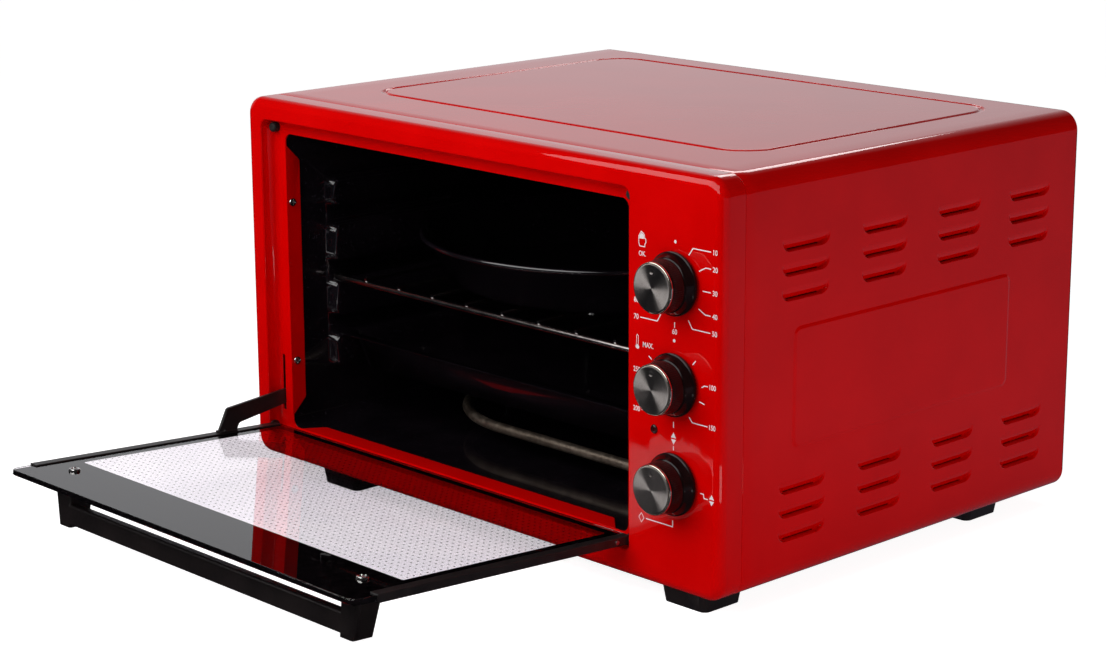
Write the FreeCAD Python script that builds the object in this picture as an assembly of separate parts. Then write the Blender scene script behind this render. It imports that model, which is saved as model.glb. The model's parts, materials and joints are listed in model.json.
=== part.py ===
import FreeCAD, Part
import math
import os
from FreeCAD import Placement, Rotation, Vector

os.makedirs("parts", exist_ok=True)

# A countertop mini oven with its drop-down glass door open. All sizes are in millimetres.
# The model is built about the casing: x is 0 midway across, y is 0 midway through its depth with the
# front at -y, and z is 0 at the casing's underside. Each piece is moved to the part's own origin last.

# Casing
casing_width = 500.0
casing_depth = 381.5
casing_height = 286.5
casing_corner_radius = 14.0
casing_sheet = 0.8
bottom_lip_width = 42.0
back_lip_width = 12.0
foot_height = 13.0

# Front frame
frame_sheet = 1.0
frame_depth = 21.2
frame_edge_radius = 7.0
frame_lip_length = 8.0
frame_lip_clearance = 0.1
seam_gap = 0.4
recess_depth = 11.7
recess_side_margin = 17.1
control_panel_width = 84.7
recess_bottom_margin = 19.6
recess_top_margin = 16.5
recess_corner_radius = 7.0
recess_foot_radius = 2.5
recess_edge_radius = 1.4
ledge_left = 15.6
ledge_right = 11.3
ledge_top = 10.6
ledge_bottom = 6.4
mouth_corner_radius = 6.5
return_flange_depth = 13.0
return_flange_bevel = 13.0
sill_flange_depth = 17.0
sill_flange_left_bevel = 10.0
sill_flange_right_bevel = 18.0
sill_flange_end_gap = 3.5
flange_corner_radius = 3.0

# Cavity
cavity_sheet = 0.8
cavity_depth = 338.0
cavity_corner_radius = 10.0
cavity_headroom = 1.0
rail_levels = 3
rail_step = 44.0
rail_lowest_top = 96.0
rail_slot = 13.0
rail_depth = 10.0
rail_inset = 1.5
rail_corner_radius = 6.0
rail_front_margin = 36.0
rail_back_margin = 24.0
rail_lowest_height = 28.0

# Door
door_open_rise = 3.4
door_side_gap = 1.1
door_top_gap = 2.0
glass_thickness = 4.0
glass_corner_radius = 8.0
glass_below_hinge = 3.0
hinge_setback = 3.75
hinge_above_recess = 5.9
hinge_pin_radius = 2.0
running_clearance = 0.05
edge_rail_sheet = 1.0
edge_rail_width = 8.0
edge_rail_from_tip = 19.0
hinge_lug_radius = 4.7

# Controls
knob_pitch = 68.25
knob_middle_height = 144.0
knob_skirt_radius = 21.6
knob_body_radius = 17.8
knob_face_radius = 17.2
knob_length = 22.0
knob_panel_gap = 1.0
shaft_radius = 3.0

# Louvres in the casing's sides
louvre_length = 48.5
louvre_height = 9.4
louvre_depth = 4.5
louvre_slit = 2.7
louvre_corner_radius = 8.6
louvre_row_pitch = 16.7
louvre_rows = 3
louvre_column_pitch = 81.4
louvre_columns = 4
louvre_front_margin = 56.7
louvre_top_margin = 47.3
louvre_bottom_margin = 29.8

# Clearances and a shared overrun for cutting tools
fit_clearance = 0.02
screw_clearance = 0.1
seat_clearance = 0.3
overrun = 2.0
plane_tolerance = 0.001

# Places worked out from the sizes above
half_width = casing_width / 2
front_y = -casing_depth / 2
back_y = casing_depth / 2
seam_y = front_y + frame_depth + seam_gap
recess_left = -half_width + recess_side_margin
recess_right = half_width - control_panel_width
recess_bottom = recess_bottom_margin
recess_top = casing_height - recess_top_margin
ledge_y = front_y + recess_depth
ledge_back_y = ledge_y + frame_sheet
mouth_left = recess_left + ledge_left
mouth_right = recess_right - ledge_right
mouth_bottom = recess_bottom + ledge_bottom
mouth_top = recess_top - ledge_top
cavity_left = mouth_left - frame_sheet
cavity_right = mouth_right + frame_sheet
cavity_floor = mouth_bottom - frame_sheet
cavity_ceiling = mouth_top + cavity_headroom
cavity_back = ledge_back_y + cavity_depth
cavity_middle = (cavity_left + cavity_right) / 2
hinge_y = front_y + hinge_setback
hinge_z = recess_bottom + hinge_above_recess
glass_left = recess_left + door_side_gap + edge_rail_sheet
glass_right = recess_right - door_side_gap - edge_rail_sheet
glass_top = recess_top - door_top_gap
door_reach = glass_top - hinge_z
door_middle = (glass_left + glass_right) / 2
glass_outer_y = hinge_y - glass_thickness / 2
glass_inner_y = hinge_y + glass_thickness / 2
door_turn = 90.0 - door_open_rise
knob_x = (recess_right + half_width) / 2
knob_heights = [knob_middle_height + knob_pitch * step for step in (1, 0, -1)]
panel_back_y = front_y + frame_sheet

AXIS_X, AXIS_Y, AXIS_Z = Vector(1, 0, 0), Vector(0, 1, 0), Vector(0, 0, 1)


# Drawing helpers
def at_xz(y):
    """Places a drawing's (a, b) at (a, y, b)."""
    return lambda a, b: Vector(a, y, b)


def at_yz(x):
    """Places a drawing's (a, b) at (x, a, b)."""
    return lambda a, b: Vector(x, a, b)


def at_xy(z):
    """Places a drawing's (a, b) at (a, b, z)."""
    return lambda a, b: Vector(a, b, z)


def rectangle(a0, a1, b0, b1, radius=0.0):
    """Four corners, each with the same radius."""
    return [(a0, b0, radius), (a1, b0, radius), (a1, b1, radius), (a0, b1, radius)]


def rounded_edges(points, radii, closed=True):
    """Straight edges through the points, joined by tangent arcs of the given radii."""
    count = len(points)
    entries, exits, middles = [], [], []
    for index, (point, radius) in enumerate(zip(points, radii)):
        inner_end = not closed and index in (0, count - 1)
        if radius == 0 or inner_end:
            entries.append(point)
            exits.append(point)
            middles.append(None)
            continue
        before = (points[index - 1] - point).normalize()
        after = (points[(index + 1) % count] - point).normalize()
        half_angle = before.getAngle(after) / 2
        setback = radius / math.tan(half_angle)
        bisector = (before + after).normalize()
        centre = point + bisector * (radius / math.sin(half_angle))
        entries.append(point + before * setback)
        exits.append(point + after * setback)
        middles.append(centre - bisector * radius)
    edges = []
    for index in range(count):
        if middles[index] is not None:
            edges.append(Part.Arc(entries[index], middles[index], exits[index]).toShape())
        following = index + 1
        if following == count and not closed:
            break
        start, end = exits[index], entries[following % count]
        if (end - start).Length > plane_tolerance:
            edges.append(Part.LineSegment(start, end).toShape())
    return edges


def outline(place, corners):
    """A closed wire through corners given as (a, b, radius)."""
    points = [place(a, b) for a, b, radius in corners]
    return Part.Wire(rounded_edges(points, [corner[2] for corner in corners]))


def slab(place, corners, direction):
    """A flat outline given thickness along a direction."""
    return Part.Face(outline(place, corners)).extrude(direction)


def pressing(base_place, base_corners, top_place, top_corners):
    """A tapered solid between two outlines that have the same number of corners."""
    return Part.makeLoft([outline(base_place, base_corners), outline(top_place, top_corners)], True, True)


def rod(start, end, radius):
    """A round bar between two points."""
    return Part.makeCylinder(radius, (end - start).Length, start, end - start)


def turned(profile, base, axis):
    """A profile of (radius, height, corner radius) turned about an axis through the base point."""
    face = Part.Face(outline(at_xz(0), profile))
    solid = face.revolve(Vector(0, 0, 0), AXIS_Z, 360)
    solid.Placement = Placement(base, Rotation(AXIS_Z, axis))
    return solid


def bent_tube(points, bend_radius, tube_radius):
    """A round bar along straight runs joined by tangent bends."""
    path = Part.Wire(rounded_edges(points, [bend_radius] * len(points), closed=False))
    section = Part.Wire(Part.makeCircle(tube_radius, points[0], points[1] - points[0]))
    return path.makePipeShell([section], True, False)


def joined(shapes):
    """One solid from pieces that touch or overlap."""
    first, rest = shapes[0], shapes[1:]
    return first.fuse(rest).removeSplitter() if rest else first


def edges_at(shape, axis, value):
    """The edges that lie wholly in the plane where the given axis has the given value."""
    low = {"x": "XMin", "y": "YMin", "z": "ZMin"}[axis]
    high = {"x": "XMax", "y": "YMax", "z": "ZMax"}[axis]
    return [
        edge
        for edge in shape.Edges
        if abs(getattr(edge.BoundBox, low) - value) < plane_tolerance
        and abs(getattr(edge.BoundBox, high) - value) < plane_tolerance
    ]


def mirrored(shape, x):
    """The shape's mirror image across the plane at x."""
    return shape.mirror(Vector(x, 0, 0), AXIS_X)


def pan_head_screw(seat, inward, shank_radius, head_radius, head_height, length):
    """A pan-head screw whose head rests on the seat point and whose shank runs inward."""
    profile = [
        (0, -head_height, 0),
        (head_radius, -head_height, head_height / 2),
        (head_radius, 0, 0),
        (shank_radius, 0, 0),
        (shank_radius, length, 0),
        (0, length, 0),
    ]
    return turned(profile, seat, inward)


# Front frame: a pressed sheet with a door recess, a flat control panel and a joggled rear lip
slot_width = 3.5
slot_bottom = 38.0
slot_top = 83.0
arm_inset = 5.4
bumper_stem_radius = 1.6
bumper_from_top = 6.5
bumper_inset = 3.8
flange_screw_radius = 1.6
flange_screw_depth = 5.0
flange_screw_heights = [79.0, 205.0]
panel_hole_radius = 5.0
panel_dish_radius = 24.5
panel_dish_depth = 0.4
lamp_radius = 3.2
lamp_side_offset = 18.0
lamp_height = knob_middle_height - knob_pitch / 2
arm_plane = recess_left + arm_inset


def casing_rectangle(offset):
    """The casing's outline seen from the front, moved inward by an offset."""
    return rectangle(
        -half_width + offset,
        half_width - offset,
        offset,
        casing_height - offset,
        casing_corner_radius - offset,
    )


def front_frame():
    depth = AXIS_Y * frame_depth
    outer = slab(at_xz(front_y), casing_rectangle(0), depth)
    outer = outer.makeFillet(frame_edge_radius, edges_at(outer, "y", front_y))
    inner = slab(at_xz(panel_back_y), casing_rectangle(frame_sheet), depth)
    inner = inner.makeFillet(frame_edge_radius - frame_sheet, edges_at(inner, "y", panel_back_y))
    lip_outer = casing_sheet + frame_lip_clearance
    lip_start = front_y + frame_depth - frame_lip_length
    lip_run = AXIS_Y * (2 * frame_lip_length)
    lip = slab(at_xz(lip_start), casing_rectangle(lip_outer), lip_run)
    lip = lip.cut(slab(at_xz(lip_start), casing_rectangle(lip_outer + frame_sheet), lip_run))
    pocket_wall, pocket = recess_outline(frame_sheet), recess_outline(0)
    mouth = rectangle(mouth_left, mouth_right, mouth_bottom, mouth_top, mouth_corner_radius)
    walls = slab(at_xz(front_y), pocket_wall, AXIS_Y * (recess_depth + frame_sheet))
    frame = outer.cut(inner).fuse([walls, lip])
    frame = frame.cut(slab(at_xz(front_y - overrun), pocket, AXIS_Y * (recess_depth + overrun)))
    rim = [
        edge
        for edge in edges_at(frame, "y", front_y)
        if edge.BoundBox.XMin > recess_left - plane_tolerance
        and edge.BoundBox.XMax < recess_right + plane_tolerance
    ]
    frame = frame.makeFillet(recess_edge_radius, rim)
    frame = frame.cut(slab(at_xz(front_y), mouth, depth))
    frame = frame.fuse(return_flanges() + [sill_flange()])
    return frame.cut(frame_openings()).removeSplitter()


def recess_outline(grow):
    """The door recess seen from the front, with tighter corners at its foot."""
    foot, head = recess_foot_radius + grow, recess_corner_radius + grow
    return [
        (recess_left - grow, recess_bottom - grow, foot),
        (recess_right + grow, recess_bottom - grow, foot),
        (recess_right + grow, recess_top + grow, head),
        (recess_left - grow, recess_top + grow, head),
    ]


def return_flanges():
    """The strips folded inward at the two sides of the mouth."""
    back = ledge_y + return_flange_depth
    low, high = cavity_floor + cavity_corner_radius, cavity_ceiling - cavity_corner_radius
    corners = [
        (ledge_y, low, 0),
        (back, low + return_flange_bevel, flange_corner_radius),
        (back, high - return_flange_bevel, flange_corner_radius),
        (ledge_y, high, 0),
    ]
    left = slab(at_yz(mouth_left - frame_sheet), corners, AXIS_X * frame_sheet)
    right = slab(at_yz(mouth_right), corners, AXIS_X * frame_sheet)
    return [left, right]


def sill_flange():
    """The strip folded inward under the mouth, bevelled at both ends."""
    left = cavity_left + cavity_corner_radius
    right = cavity_right - cavity_corner_radius - sill_flange_end_gap
    back = ledge_y + sill_flange_depth
    strip = [
        (left, ledge_y, 0),
        (right, ledge_y, 0),
        (right - sill_flange_right_bevel, back, flange_corner_radius),
        (left + sill_flange_left_bevel, back, flange_corner_radius),
    ]
    return slab(at_xy(mouth_bottom - frame_sheet), strip, AXIS_Z * frame_sheet)


def frame_openings():
    """Every hole and slot that is cut through the frame."""
    tools = []
    for height in knob_heights:
        centre = Vector(knob_x, front_y - overrun, height)
        tools.append(rod(centre, centre + AXIS_Y * frame_depth, panel_hole_radius))
        dish = [
            (0, 0, 0),
            (panel_dish_radius, 0, 0),
            (panel_dish_radius - panel_dish_depth, panel_dish_depth, 0),
            (0, panel_dish_depth, 0),
        ]
        tools.append(turned(dish, Vector(knob_x, front_y, height), AXIS_Y))
    lamp = Vector(knob_x - lamp_side_offset, front_y - overrun, lamp_height)
    tools.append(rod(lamp, lamp + AXIS_Y * frame_depth, lamp_radius))
    slot = rectangle(
        arm_plane - slot_width / 2, arm_plane + slot_width / 2, slot_bottom, slot_top, slot_width / 3
    )
    tools.append(slab(at_xz(ledge_y - overrun / 2), slot, AXIS_Y * (overrun + frame_sheet)))
    for x in bumper_places():
        stem = Vector(x, ledge_y - overrun, recess_top - bumper_from_top)
        inner_end = stem + AXIS_Y * (2 * overrun + frame_sheet)
        tools.append(rod(stem, inner_end, bumper_stem_radius + screw_clearance))
    pin_radius = hinge_pin_radius + running_clearance
    for x in (recess_left, recess_right):
        middle = Vector(x, hinge_y, hinge_z)
        tools.append(rod(middle - AXIS_X * overrun, middle + AXIS_X * overrun, pin_radius))
    for x in (mouth_left, mouth_right):
        for height in flange_screw_heights:
            middle = Vector(x, ledge_y + flange_screw_depth, height)
            hole_radius = flange_screw_radius + screw_clearance
            tools.append(rod(middle - AXIS_X * overrun, middle + AXIS_X * overrun, hole_radius))
    return tools


def bumper_places():
    """The x of the two rubber bumpers on the ledge."""
    return [glass_left + bumper_inset, glass_right - bumper_inset]


# Casing wrap: top and both sides in one bent sheet, louvred, with a pressed bead on top
top_bead_side_margin = 53.0
top_bead_front_margin = 80.0
top_bead_back_margin = 28.0
top_bead_radius = 28.0
top_bead_width = 5.0
top_bead_depth = 1.2
side_panel_front_margin = 69.5
side_panel_length = 236.0
side_panel_bottom = 93.5
side_panel_height = 85.0
side_panel_radius = 7.0
side_panel_rise = 0.8
side_panel_slope = 3.0
casing_screw_radius = 1.8
casing_screw_head = 3.6
casing_screw_head_height = 2.0
casing_screw_length = 7.0
back_screw_inset = 6.4
back_screw_top_inset = 120.0


def louvre_bottoms():
    """The height of each louvre's lower edge: three rows up high and three down low."""
    highest = casing_height - louvre_top_margin - louvre_height
    upper = [highest - louvre_row_pitch * row for row in range(louvre_rows)]
    lower = [louvre_bottom_margin + louvre_row_pitch * row for row in range(louvre_rows)]
    return upper + lower


def louvre(y, z):
    """One inward-pressed scoop on the right wall: its sheet, its hollow and the slit below its lip."""
    run = louvre_height - louvre_slit
    rise = casing_sheet * math.hypot(louvre_depth, run) / louvre_depth
    solids = []
    for thickness, lift in ((casing_sheet, rise), (0.0, 0.0)):
        top, bottom = z + louvre_height + lift, z - thickness
        radius = louvre_corner_radius + thickness
        start, end = y - thickness, y + louvre_length + thickness
        plan = [(start, bottom, radius), (end, bottom, radius), (end, top, 0), (start, top, 0)]
        lip = z + louvre_slit
        inward = louvre_depth * (top - lip) / run
        body = slab(at_yz(half_width), plan, AXIS_X * -inward)
        wedge = [
            (half_width, top, 0),
            (half_width, bottom, 0),
            (half_width - inward, bottom, 0),
            (half_width - inward, lip, 0),
        ]
        solids.append(body.common(slab(at_xz(start), wedge, AXIS_Y * (end - start))))
    slit = rectangle(
        y + louvre_corner_radius, y + louvre_length - louvre_corner_radius, z - overrun, z + louvre_slit
    )
    slit_depth = louvre_depth + overrun
    solids.append(slab(at_yz(half_width - casing_sheet), slit, AXIS_X * -slit_depth))
    return solids


def louvred_side(sheet):
    """Presses the louvres and the raised panel into the sheet's right wall."""
    shells, hollows = [], []
    for column in range(louvre_columns):
        y = front_y + louvre_front_margin + louvre_column_pitch * column
        for z in louvre_bottoms():
            shell, hollow, slit = louvre(y, z)
            shells.append(shell)
            hollows += [hollow, slit]
    start = front_y + side_panel_front_margin
    top = side_panel_bottom + side_panel_height
    base = rectangle(start, start + side_panel_length, side_panel_bottom, top, side_panel_radius)
    raised = rectangle(
        start + side_panel_slope,
        start + side_panel_length - side_panel_slope,
        side_panel_bottom + side_panel_slope,
        top - side_panel_slope,
        side_panel_radius - side_panel_slope / 2,
    )
    inner_x = half_width - casing_sheet
    shells.append(pressing(at_yz(half_width), base, at_yz(half_width + side_panel_rise), raised))
    hollows.append(pressing(at_yz(inner_x), base, at_yz(inner_x + side_panel_rise), raised))
    return sheet.fuse(shells).cut(hollows)


def top_bead(depth_offset, spread):
    """The bead's ring: a tapered channel that follows a rounded rectangle on the top."""
    middle = [
        -half_width + top_bead_side_margin,
        half_width - top_bead_side_margin,
        front_y + top_bead_front_margin,
        back_y - top_bead_back_margin,
    ]

    def ring(grow):
        return rectangle(
            middle[0] - grow, middle[1] + grow, middle[2] - grow, middle[3] + grow, top_bead_radius + grow
        )

    wide = top_bead_width / 2 + spread
    narrow = top_bead_width / 4 + spread
    surface = at_xy(casing_height)
    floor = at_xy(casing_height - top_bead_depth - depth_offset)
    outer = pressing(surface, ring(wide), floor, ring(narrow))
    return outer.cut(pressing(surface, ring(-wide), floor, ring(-narrow)))


def casing_wrap():
    length = AXIS_Y * (back_y - casing_sheet - seam_y)
    wrap = slab(at_xz(seam_y), casing_rectangle(0), length)
    wrap = wrap.cut(slab(at_xz(seam_y), casing_rectangle(casing_sheet), length - AXIS_Y * casing_sheet))
    window = rectangle(
        -half_width + back_lip_width,
        half_width - back_lip_width,
        back_lip_width,
        casing_height - back_lip_width,
        casing_sheet,
    )
    wrap = wrap.cut(slab(at_xz(seam_y), window, length))
    gap_half = half_width - casing_corner_radius - bottom_lip_width
    gap = slab(at_xz(seam_y), rectangle(-gap_half, gap_half, -overrun, casing_sheet + overrun), length)
    wrap = wrap.cut(gap)
    wrap = wrap.fuse(top_bead(casing_sheet, casing_sheet)).cut(top_bead(0, 0))
    wrap = mirrored(louvred_side(wrap), 0)
    wrap = louvred_side(wrap)
    ends = foot_screw_axes() + back_screw_axes()
    return wrap.cut([rod(start, end, casing_screw_radius + screw_clearance) for start, end in ends])


# Base plate, back panel and feet
base_vent_length = 46.0
base_vent_width = 4.0
base_vent_pitch = 22.0
base_vent_count = 9
base_front_gap = 1.0
base_side_gap = 2.0
back_panel_inset = 1.2
back_field_side_margin = 58.0
back_field_height_margin = 38.0
back_field_depth = 3.0
back_field_slope = 4.0
back_field_radius = 12.0
back_vent_width = 4.0
back_vent_height = 30.0
back_vent_pitch = 12.0
back_vent_count = 8
back_vent_heights = [56.0, 200.0]
back_screw_heights = [56.0, 230.0]
gland_from_side = 35.0
gland_z = 34.0
gland_hole_radius = 8.0
foot_length = 40.0
foot_width = 43.0
foot_radius = 6.0
foot_taper = 2.0
foot_left_margin = 70.0
foot_right_margin = 20.0
foot_front_margin = 8.0
foot_back_margin = 50.0
foot_sole = 4.0
foot_bore_radius = 6.5
foot_screw_reach = 4.5
foot_screw_setback = 8.0
base_top = 2 * casing_sheet
gland_x = half_width - gland_from_side


def foot_centres():
    """Where the four feet stand."""
    left = -half_width + foot_left_margin + foot_width / 2
    right = half_width - foot_right_margin - foot_width / 2
    front = front_y + foot_front_margin + foot_length / 2
    back = back_y - foot_back_margin - foot_length / 2
    return [(x, y) for x in (left, right) for y in (front, back)]


def foot_screw_axes():
    """The line of each foot's screw, from below the foot to above the base plate."""
    top = base_top + foot_screw_reach
    places = [(x, y + foot_screw_setback) for x, y in foot_centres()]
    return [(Vector(x, y, -foot_height), Vector(x, y, top)) for x, y in places]


def back_screw_places():
    """The screws through the back panel: two up each side and two along the top."""
    side_x = half_width - back_screw_inset
    top_z = casing_height - back_screw_inset
    sides = [(side * side_x, z) for side in (-1, 1) for z in back_screw_heights]
    return sides + [(side * (half_width - back_screw_top_inset), top_z) for side in (-1, 1)]


def back_screw_axes():
    """The line of each back screw, through the panel and the casing's folded lip."""
    reach = AXIS_Y * (casing_screw_length + overrun)
    places = [Vector(x, back_y, z) for x, z in back_screw_places()]
    return [(place - reach, place + reach) for place in places]


def base_plate():
    half = half_width - casing_corner_radius - base_side_gap
    start = front_y + frame_depth + frame_lip_length + base_front_gap
    end = back_y - 2 * casing_sheet - base_front_gap
    plate = slab(at_xy(casing_sheet), rectangle(-half, half, start, end), AXIS_Z * casing_sheet)
    tools = [rod(*ends, casing_screw_radius + screw_clearance) for ends in foot_screw_axes()]
    for index in range(base_vent_count):
        y = base_vent_pitch * (index - (base_vent_count - 1) / 2)
        for x in (cavity_left / 2, cavity_right / 2):
            vent = rectangle(
                x - base_vent_length / 2,
                x + base_vent_length / 2,
                y - base_vent_width / 2,
                y + base_vent_width / 2,
                base_vent_width / 3,
            )
            tools.append(slab(at_xy(-overrun), vent, AXIS_Z * (base_top + 2 * overrun)))
    return plate.cut(tools)


def back_field(grow):
    """The outline of the back panel's pressed field, grown outward."""
    return rectangle(
        -half_width + back_field_side_margin - grow,
        half_width - back_field_side_margin + grow,
        back_field_height_margin - grow,
        casing_height - back_field_height_margin + grow,
        back_field_radius + grow,
    )


def back_panel():
    """A flat sheet over the casing's rear lip, with a vented field pressed inward."""
    inner_y = back_y - casing_sheet
    panel = slab(at_xz(inner_y), casing_rectangle(back_panel_inset), AXIS_Y * casing_sheet)
    deep_y = inner_y - back_field_depth
    raised = pressing(at_xz(inner_y), back_field(casing_sheet), at_xz(deep_y), back_field(-back_field_slope))
    field = back_field(-back_field_slope - casing_sheet)
    dent = pressing(at_xz(back_y), back_field(0), at_xz(back_y - back_field_depth), field)
    tools = [dent]
    for height in back_vent_heights:
        for index in range(back_vent_count):
            x = cavity_middle + back_vent_pitch * (index - (back_vent_count - 1) / 2)
            vent = rectangle(
                x - back_vent_width / 2,
                x + back_vent_width / 2,
                height,
                height + back_vent_height,
                back_vent_width / 3,
            )
            tools.append(slab(at_xz(deep_y - back_field_depth), vent, AXIS_Y * (3 * back_field_depth)))
    gland = Vector(gland_x, inner_y - overrun, gland_z)
    tools.append(rod(gland, gland + AXIS_Y * (casing_sheet + 2 * overrun), gland_hole_radius))
    tools += [rod(*ends, casing_screw_radius + screw_clearance) for ends in back_screw_axes()]
    return panel.fuse(raised).cut(tools)


def feet():
    solids = []
    for x, y in foot_centres():
        top = rectangle(
            x - foot_width / 2, x + foot_width / 2, y - foot_length / 2, y + foot_length / 2, foot_radius
        )
        sole = rectangle(
            x - foot_width / 2 + foot_taper,
            x + foot_width / 2 - foot_taper,
            y - foot_length / 2 + foot_taper,
            y + foot_length / 2 - foot_taper,
            foot_radius - foot_taper / 2,
        )
        foot = pressing(at_xy(0), top, at_xy(-foot_height), sole)
        well = Vector(x, y + foot_screw_setback, -foot_height)
        tools = [
            rod(well - AXIS_Z * overrun, well + AXIS_Z * (foot_height - foot_sole), foot_bore_radius),
            rod(well, well + AXIS_Z * (foot_height + overrun), casing_screw_radius + screw_clearance),
        ]
        solids.append(foot.cut(tools))
    return Part.makeCompound(solids)


def foot_screws():
    length = foot_sole + base_top + foot_screw_reach
    head_radius = casing_screw_head + casing_sheet
    solids = []
    for low, high in foot_screw_axes():
        seat = Vector(low.x, low.y, -foot_sole)
        solids.append(
            pan_head_screw(seat, AXIS_Z, casing_screw_radius, head_radius, casing_screw_head_height, length)
        )
    return Part.makeCompound(solids)


def casing_screws():
    solids = []
    for x, z in back_screw_places():
        solids.append(
            pan_head_screw(
                Vector(x, back_y, z),
                AXIS_Y * -1,
                casing_screw_radius,
                casing_screw_head,
                casing_screw_head_height,
                casing_screw_length,
            )
        )
    return Part.makeCompound(solids)


# Cord inlet and terminal block
gland_collar_radius = 11.0
gland_collar = 3.0
gland_nose = 5.0
gland_nose_radius = 7.0
gland_bore_radius = 3.7
terminal_length = 34.0
terminal_width = 18.0
terminal_height = 15.0
terminal_poles = 3
terminal_screw_radius = 2.4
terminal_setback = 46.0


def cord_gland():
    inner = back_y - casing_sheet
    hole = gland_hole_radius - running_clearance
    profile = [
        (gland_bore_radius, -gland_collar, 0),
        (gland_collar_radius - casing_sheet, -gland_collar, gland_collar / 3),
        (gland_collar_radius - casing_sheet, 0, 0),
        (hole, 0, 0),
        (hole, casing_sheet, 0),
        (gland_collar_radius, casing_sheet, 0),
        (gland_collar_radius, casing_sheet + gland_collar, gland_collar / 3),
        (gland_nose_radius, casing_sheet + gland_collar, 0),
        (gland_nose_radius - casing_sheet, casing_sheet + gland_nose + casing_sheet, casing_sheet / 2),
        (gland_bore_radius, casing_sheet + gland_nose + casing_sheet, 0),
    ]
    return turned(profile, Vector(gland_x, inner, gland_z), AXIS_Y)


def terminal_block():
    y = back_y - terminal_setback
    foot = rectangle(
        gland_x - terminal_length / 2,
        gland_x + terminal_length / 2,
        y - terminal_width / 2,
        y + terminal_width / 2,
        casing_sheet,
    )
    block = slab(at_xy(base_top), foot, AXIS_Z * terminal_height)
    wells, clamps = [], []
    pitch = terminal_length / terminal_poles
    for pole in range(terminal_poles):
        x = gland_x + pitch * (pole - (terminal_poles - 1) / 2)
        top = Vector(x, y, base_top + terminal_height)
        wells.append(rod(top - AXIS_Z * (terminal_height / 3), top + AXIS_Z * overrun, terminal_screw_radius))
        side = AXIS_Y * (terminal_width / 2 + overrun)
        middle = Vector(x, y, base_top + terminal_height / 3)
        clamps.append(rod(middle - side, middle + side, terminal_screw_radius * 2 / 3))
    return block.cut(wells + clamps)


# Cavity liner: an open-fronted enamelled box whose side walls carry the pressed shelf rails
heater_tube_radius = 4.0
heater_leg_offset = 103.0
heater_left_margin = 58.0
heater_corner_radius = 102.9
lower_heater_rise = 17.0
upper_heater_drop = 17.0
terminal_cap_length = 14.0
terminal_cap_radius = 6.2
bulb_radius = 3.0
bulb_length = 70.0
bulb_drop = 22.0
bulb_front = -60.0
capillary_radius = 1.0
capillary_gap = 19.4


def rail_tops():
    """The height of each shelf rail's upper edge, lowest first."""
    return [rail_lowest_top + rail_step * level for level in range(rail_levels)]


def rail_rectangles():
    """Each pressed rail as (lowest z, highest z)."""
    tops = rail_tops()
    bottoms = [tops[0] - rail_lowest_height] + [top + rail_slot for top in tops]
    highest = tops[-1] + rail_step - rail_slot / 2
    return list(zip(bottoms, tops + [highest]))


def wall_rails(x, inward):
    """The rails of one wall: the solids that press into the cavity and their hollow backs."""
    start = ledge_back_y + rail_front_margin
    end = cavity_back - rail_back_margin
    shells, hollows = [], []
    for bottom, top in rail_rectangles():
        for thickness, group in ((0.0, shells), (cavity_sheet, hollows)):
            radius = rail_corner_radius - thickness

            def rail(inset):
                return rectangle(start + inset, end - inset, bottom + inset, top - inset, radius)

            base, face = rail(thickness), rail(rail_inset + thickness)
            back = x - inward * thickness
            group.append(pressing(at_yz(back), base, at_yz(back + inward * rail_depth), face))
    return shells, hollows


def cavity_outline(grow):
    """The cavity's rounded section, grown outwards."""
    return rectangle(
        cavity_left - grow, cavity_right + grow, cavity_floor - grow, cavity_ceiling + grow, cavity_corner_radius + grow
    )


def liner_back():
    """The flat back sheet that is seamed to the end of the liner's bent wrap."""
    return slab(at_xz(cavity_back), cavity_outline(cavity_sheet), AXIS_Y * cavity_sheet)


def cavity_liner():
    liner = slab(at_xz(ledge_back_y), cavity_outline(cavity_sheet), AXIS_Y * cavity_depth)
    liner = liner.cut(slab(at_xz(ledge_back_y - overrun), cavity_outline(0), AXIS_Y * (cavity_depth + 2 * overrun)))
    left_shells, left_hollows = wall_rails(cavity_left, 1)
    right_shells, right_hollows = wall_rails(cavity_right, -1)
    liner = liner.fuse(left_shells + right_shells).cut(left_hollows + right_hollows)
    through = AXIS_X * (2 * overrun)
    tools = []
    for z in (lower_heater_z(), upper_heater_z()):
        for y in (-heater_leg_offset, heater_leg_offset):
            centre = Vector(cavity_right, y, z)
            tools.append(rod(centre - through, centre + through, heater_tube_radius + seat_clearance))
    for x in (cavity_left, cavity_right):
        for z in flange_screw_heights:
            centre = Vector(x, ledge_y + flange_screw_depth, z)
            tools.append(rod(centre - through, centre + through, flange_screw_radius + screw_clearance))
    bulb = Vector(cavity_right, bulb_front, cavity_ceiling - bulb_drop)
    tools.append(rod(bulb - through, bulb + through, capillary_radius + seat_clearance))
    return liner.cut(tools)


def lower_heater_z():
    return cavity_floor + lower_heater_rise


def upper_heater_z():
    return cavity_ceiling - upper_heater_drop


def heater(z):
    """A tubular element bent into a wide U that enters through the right wall."""
    left = cavity_left + heater_left_margin
    right = cavity_right + cavity_sheet + terminal_cap_length
    points = [
        Vector(right, -heater_leg_offset, z),
        Vector(left, -heater_leg_offset, z),
        Vector(left, heater_leg_offset, z),
        Vector(right, heater_leg_offset, z),
    ]
    return bent_tube(points, heater_corner_radius, heater_tube_radius)


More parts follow.
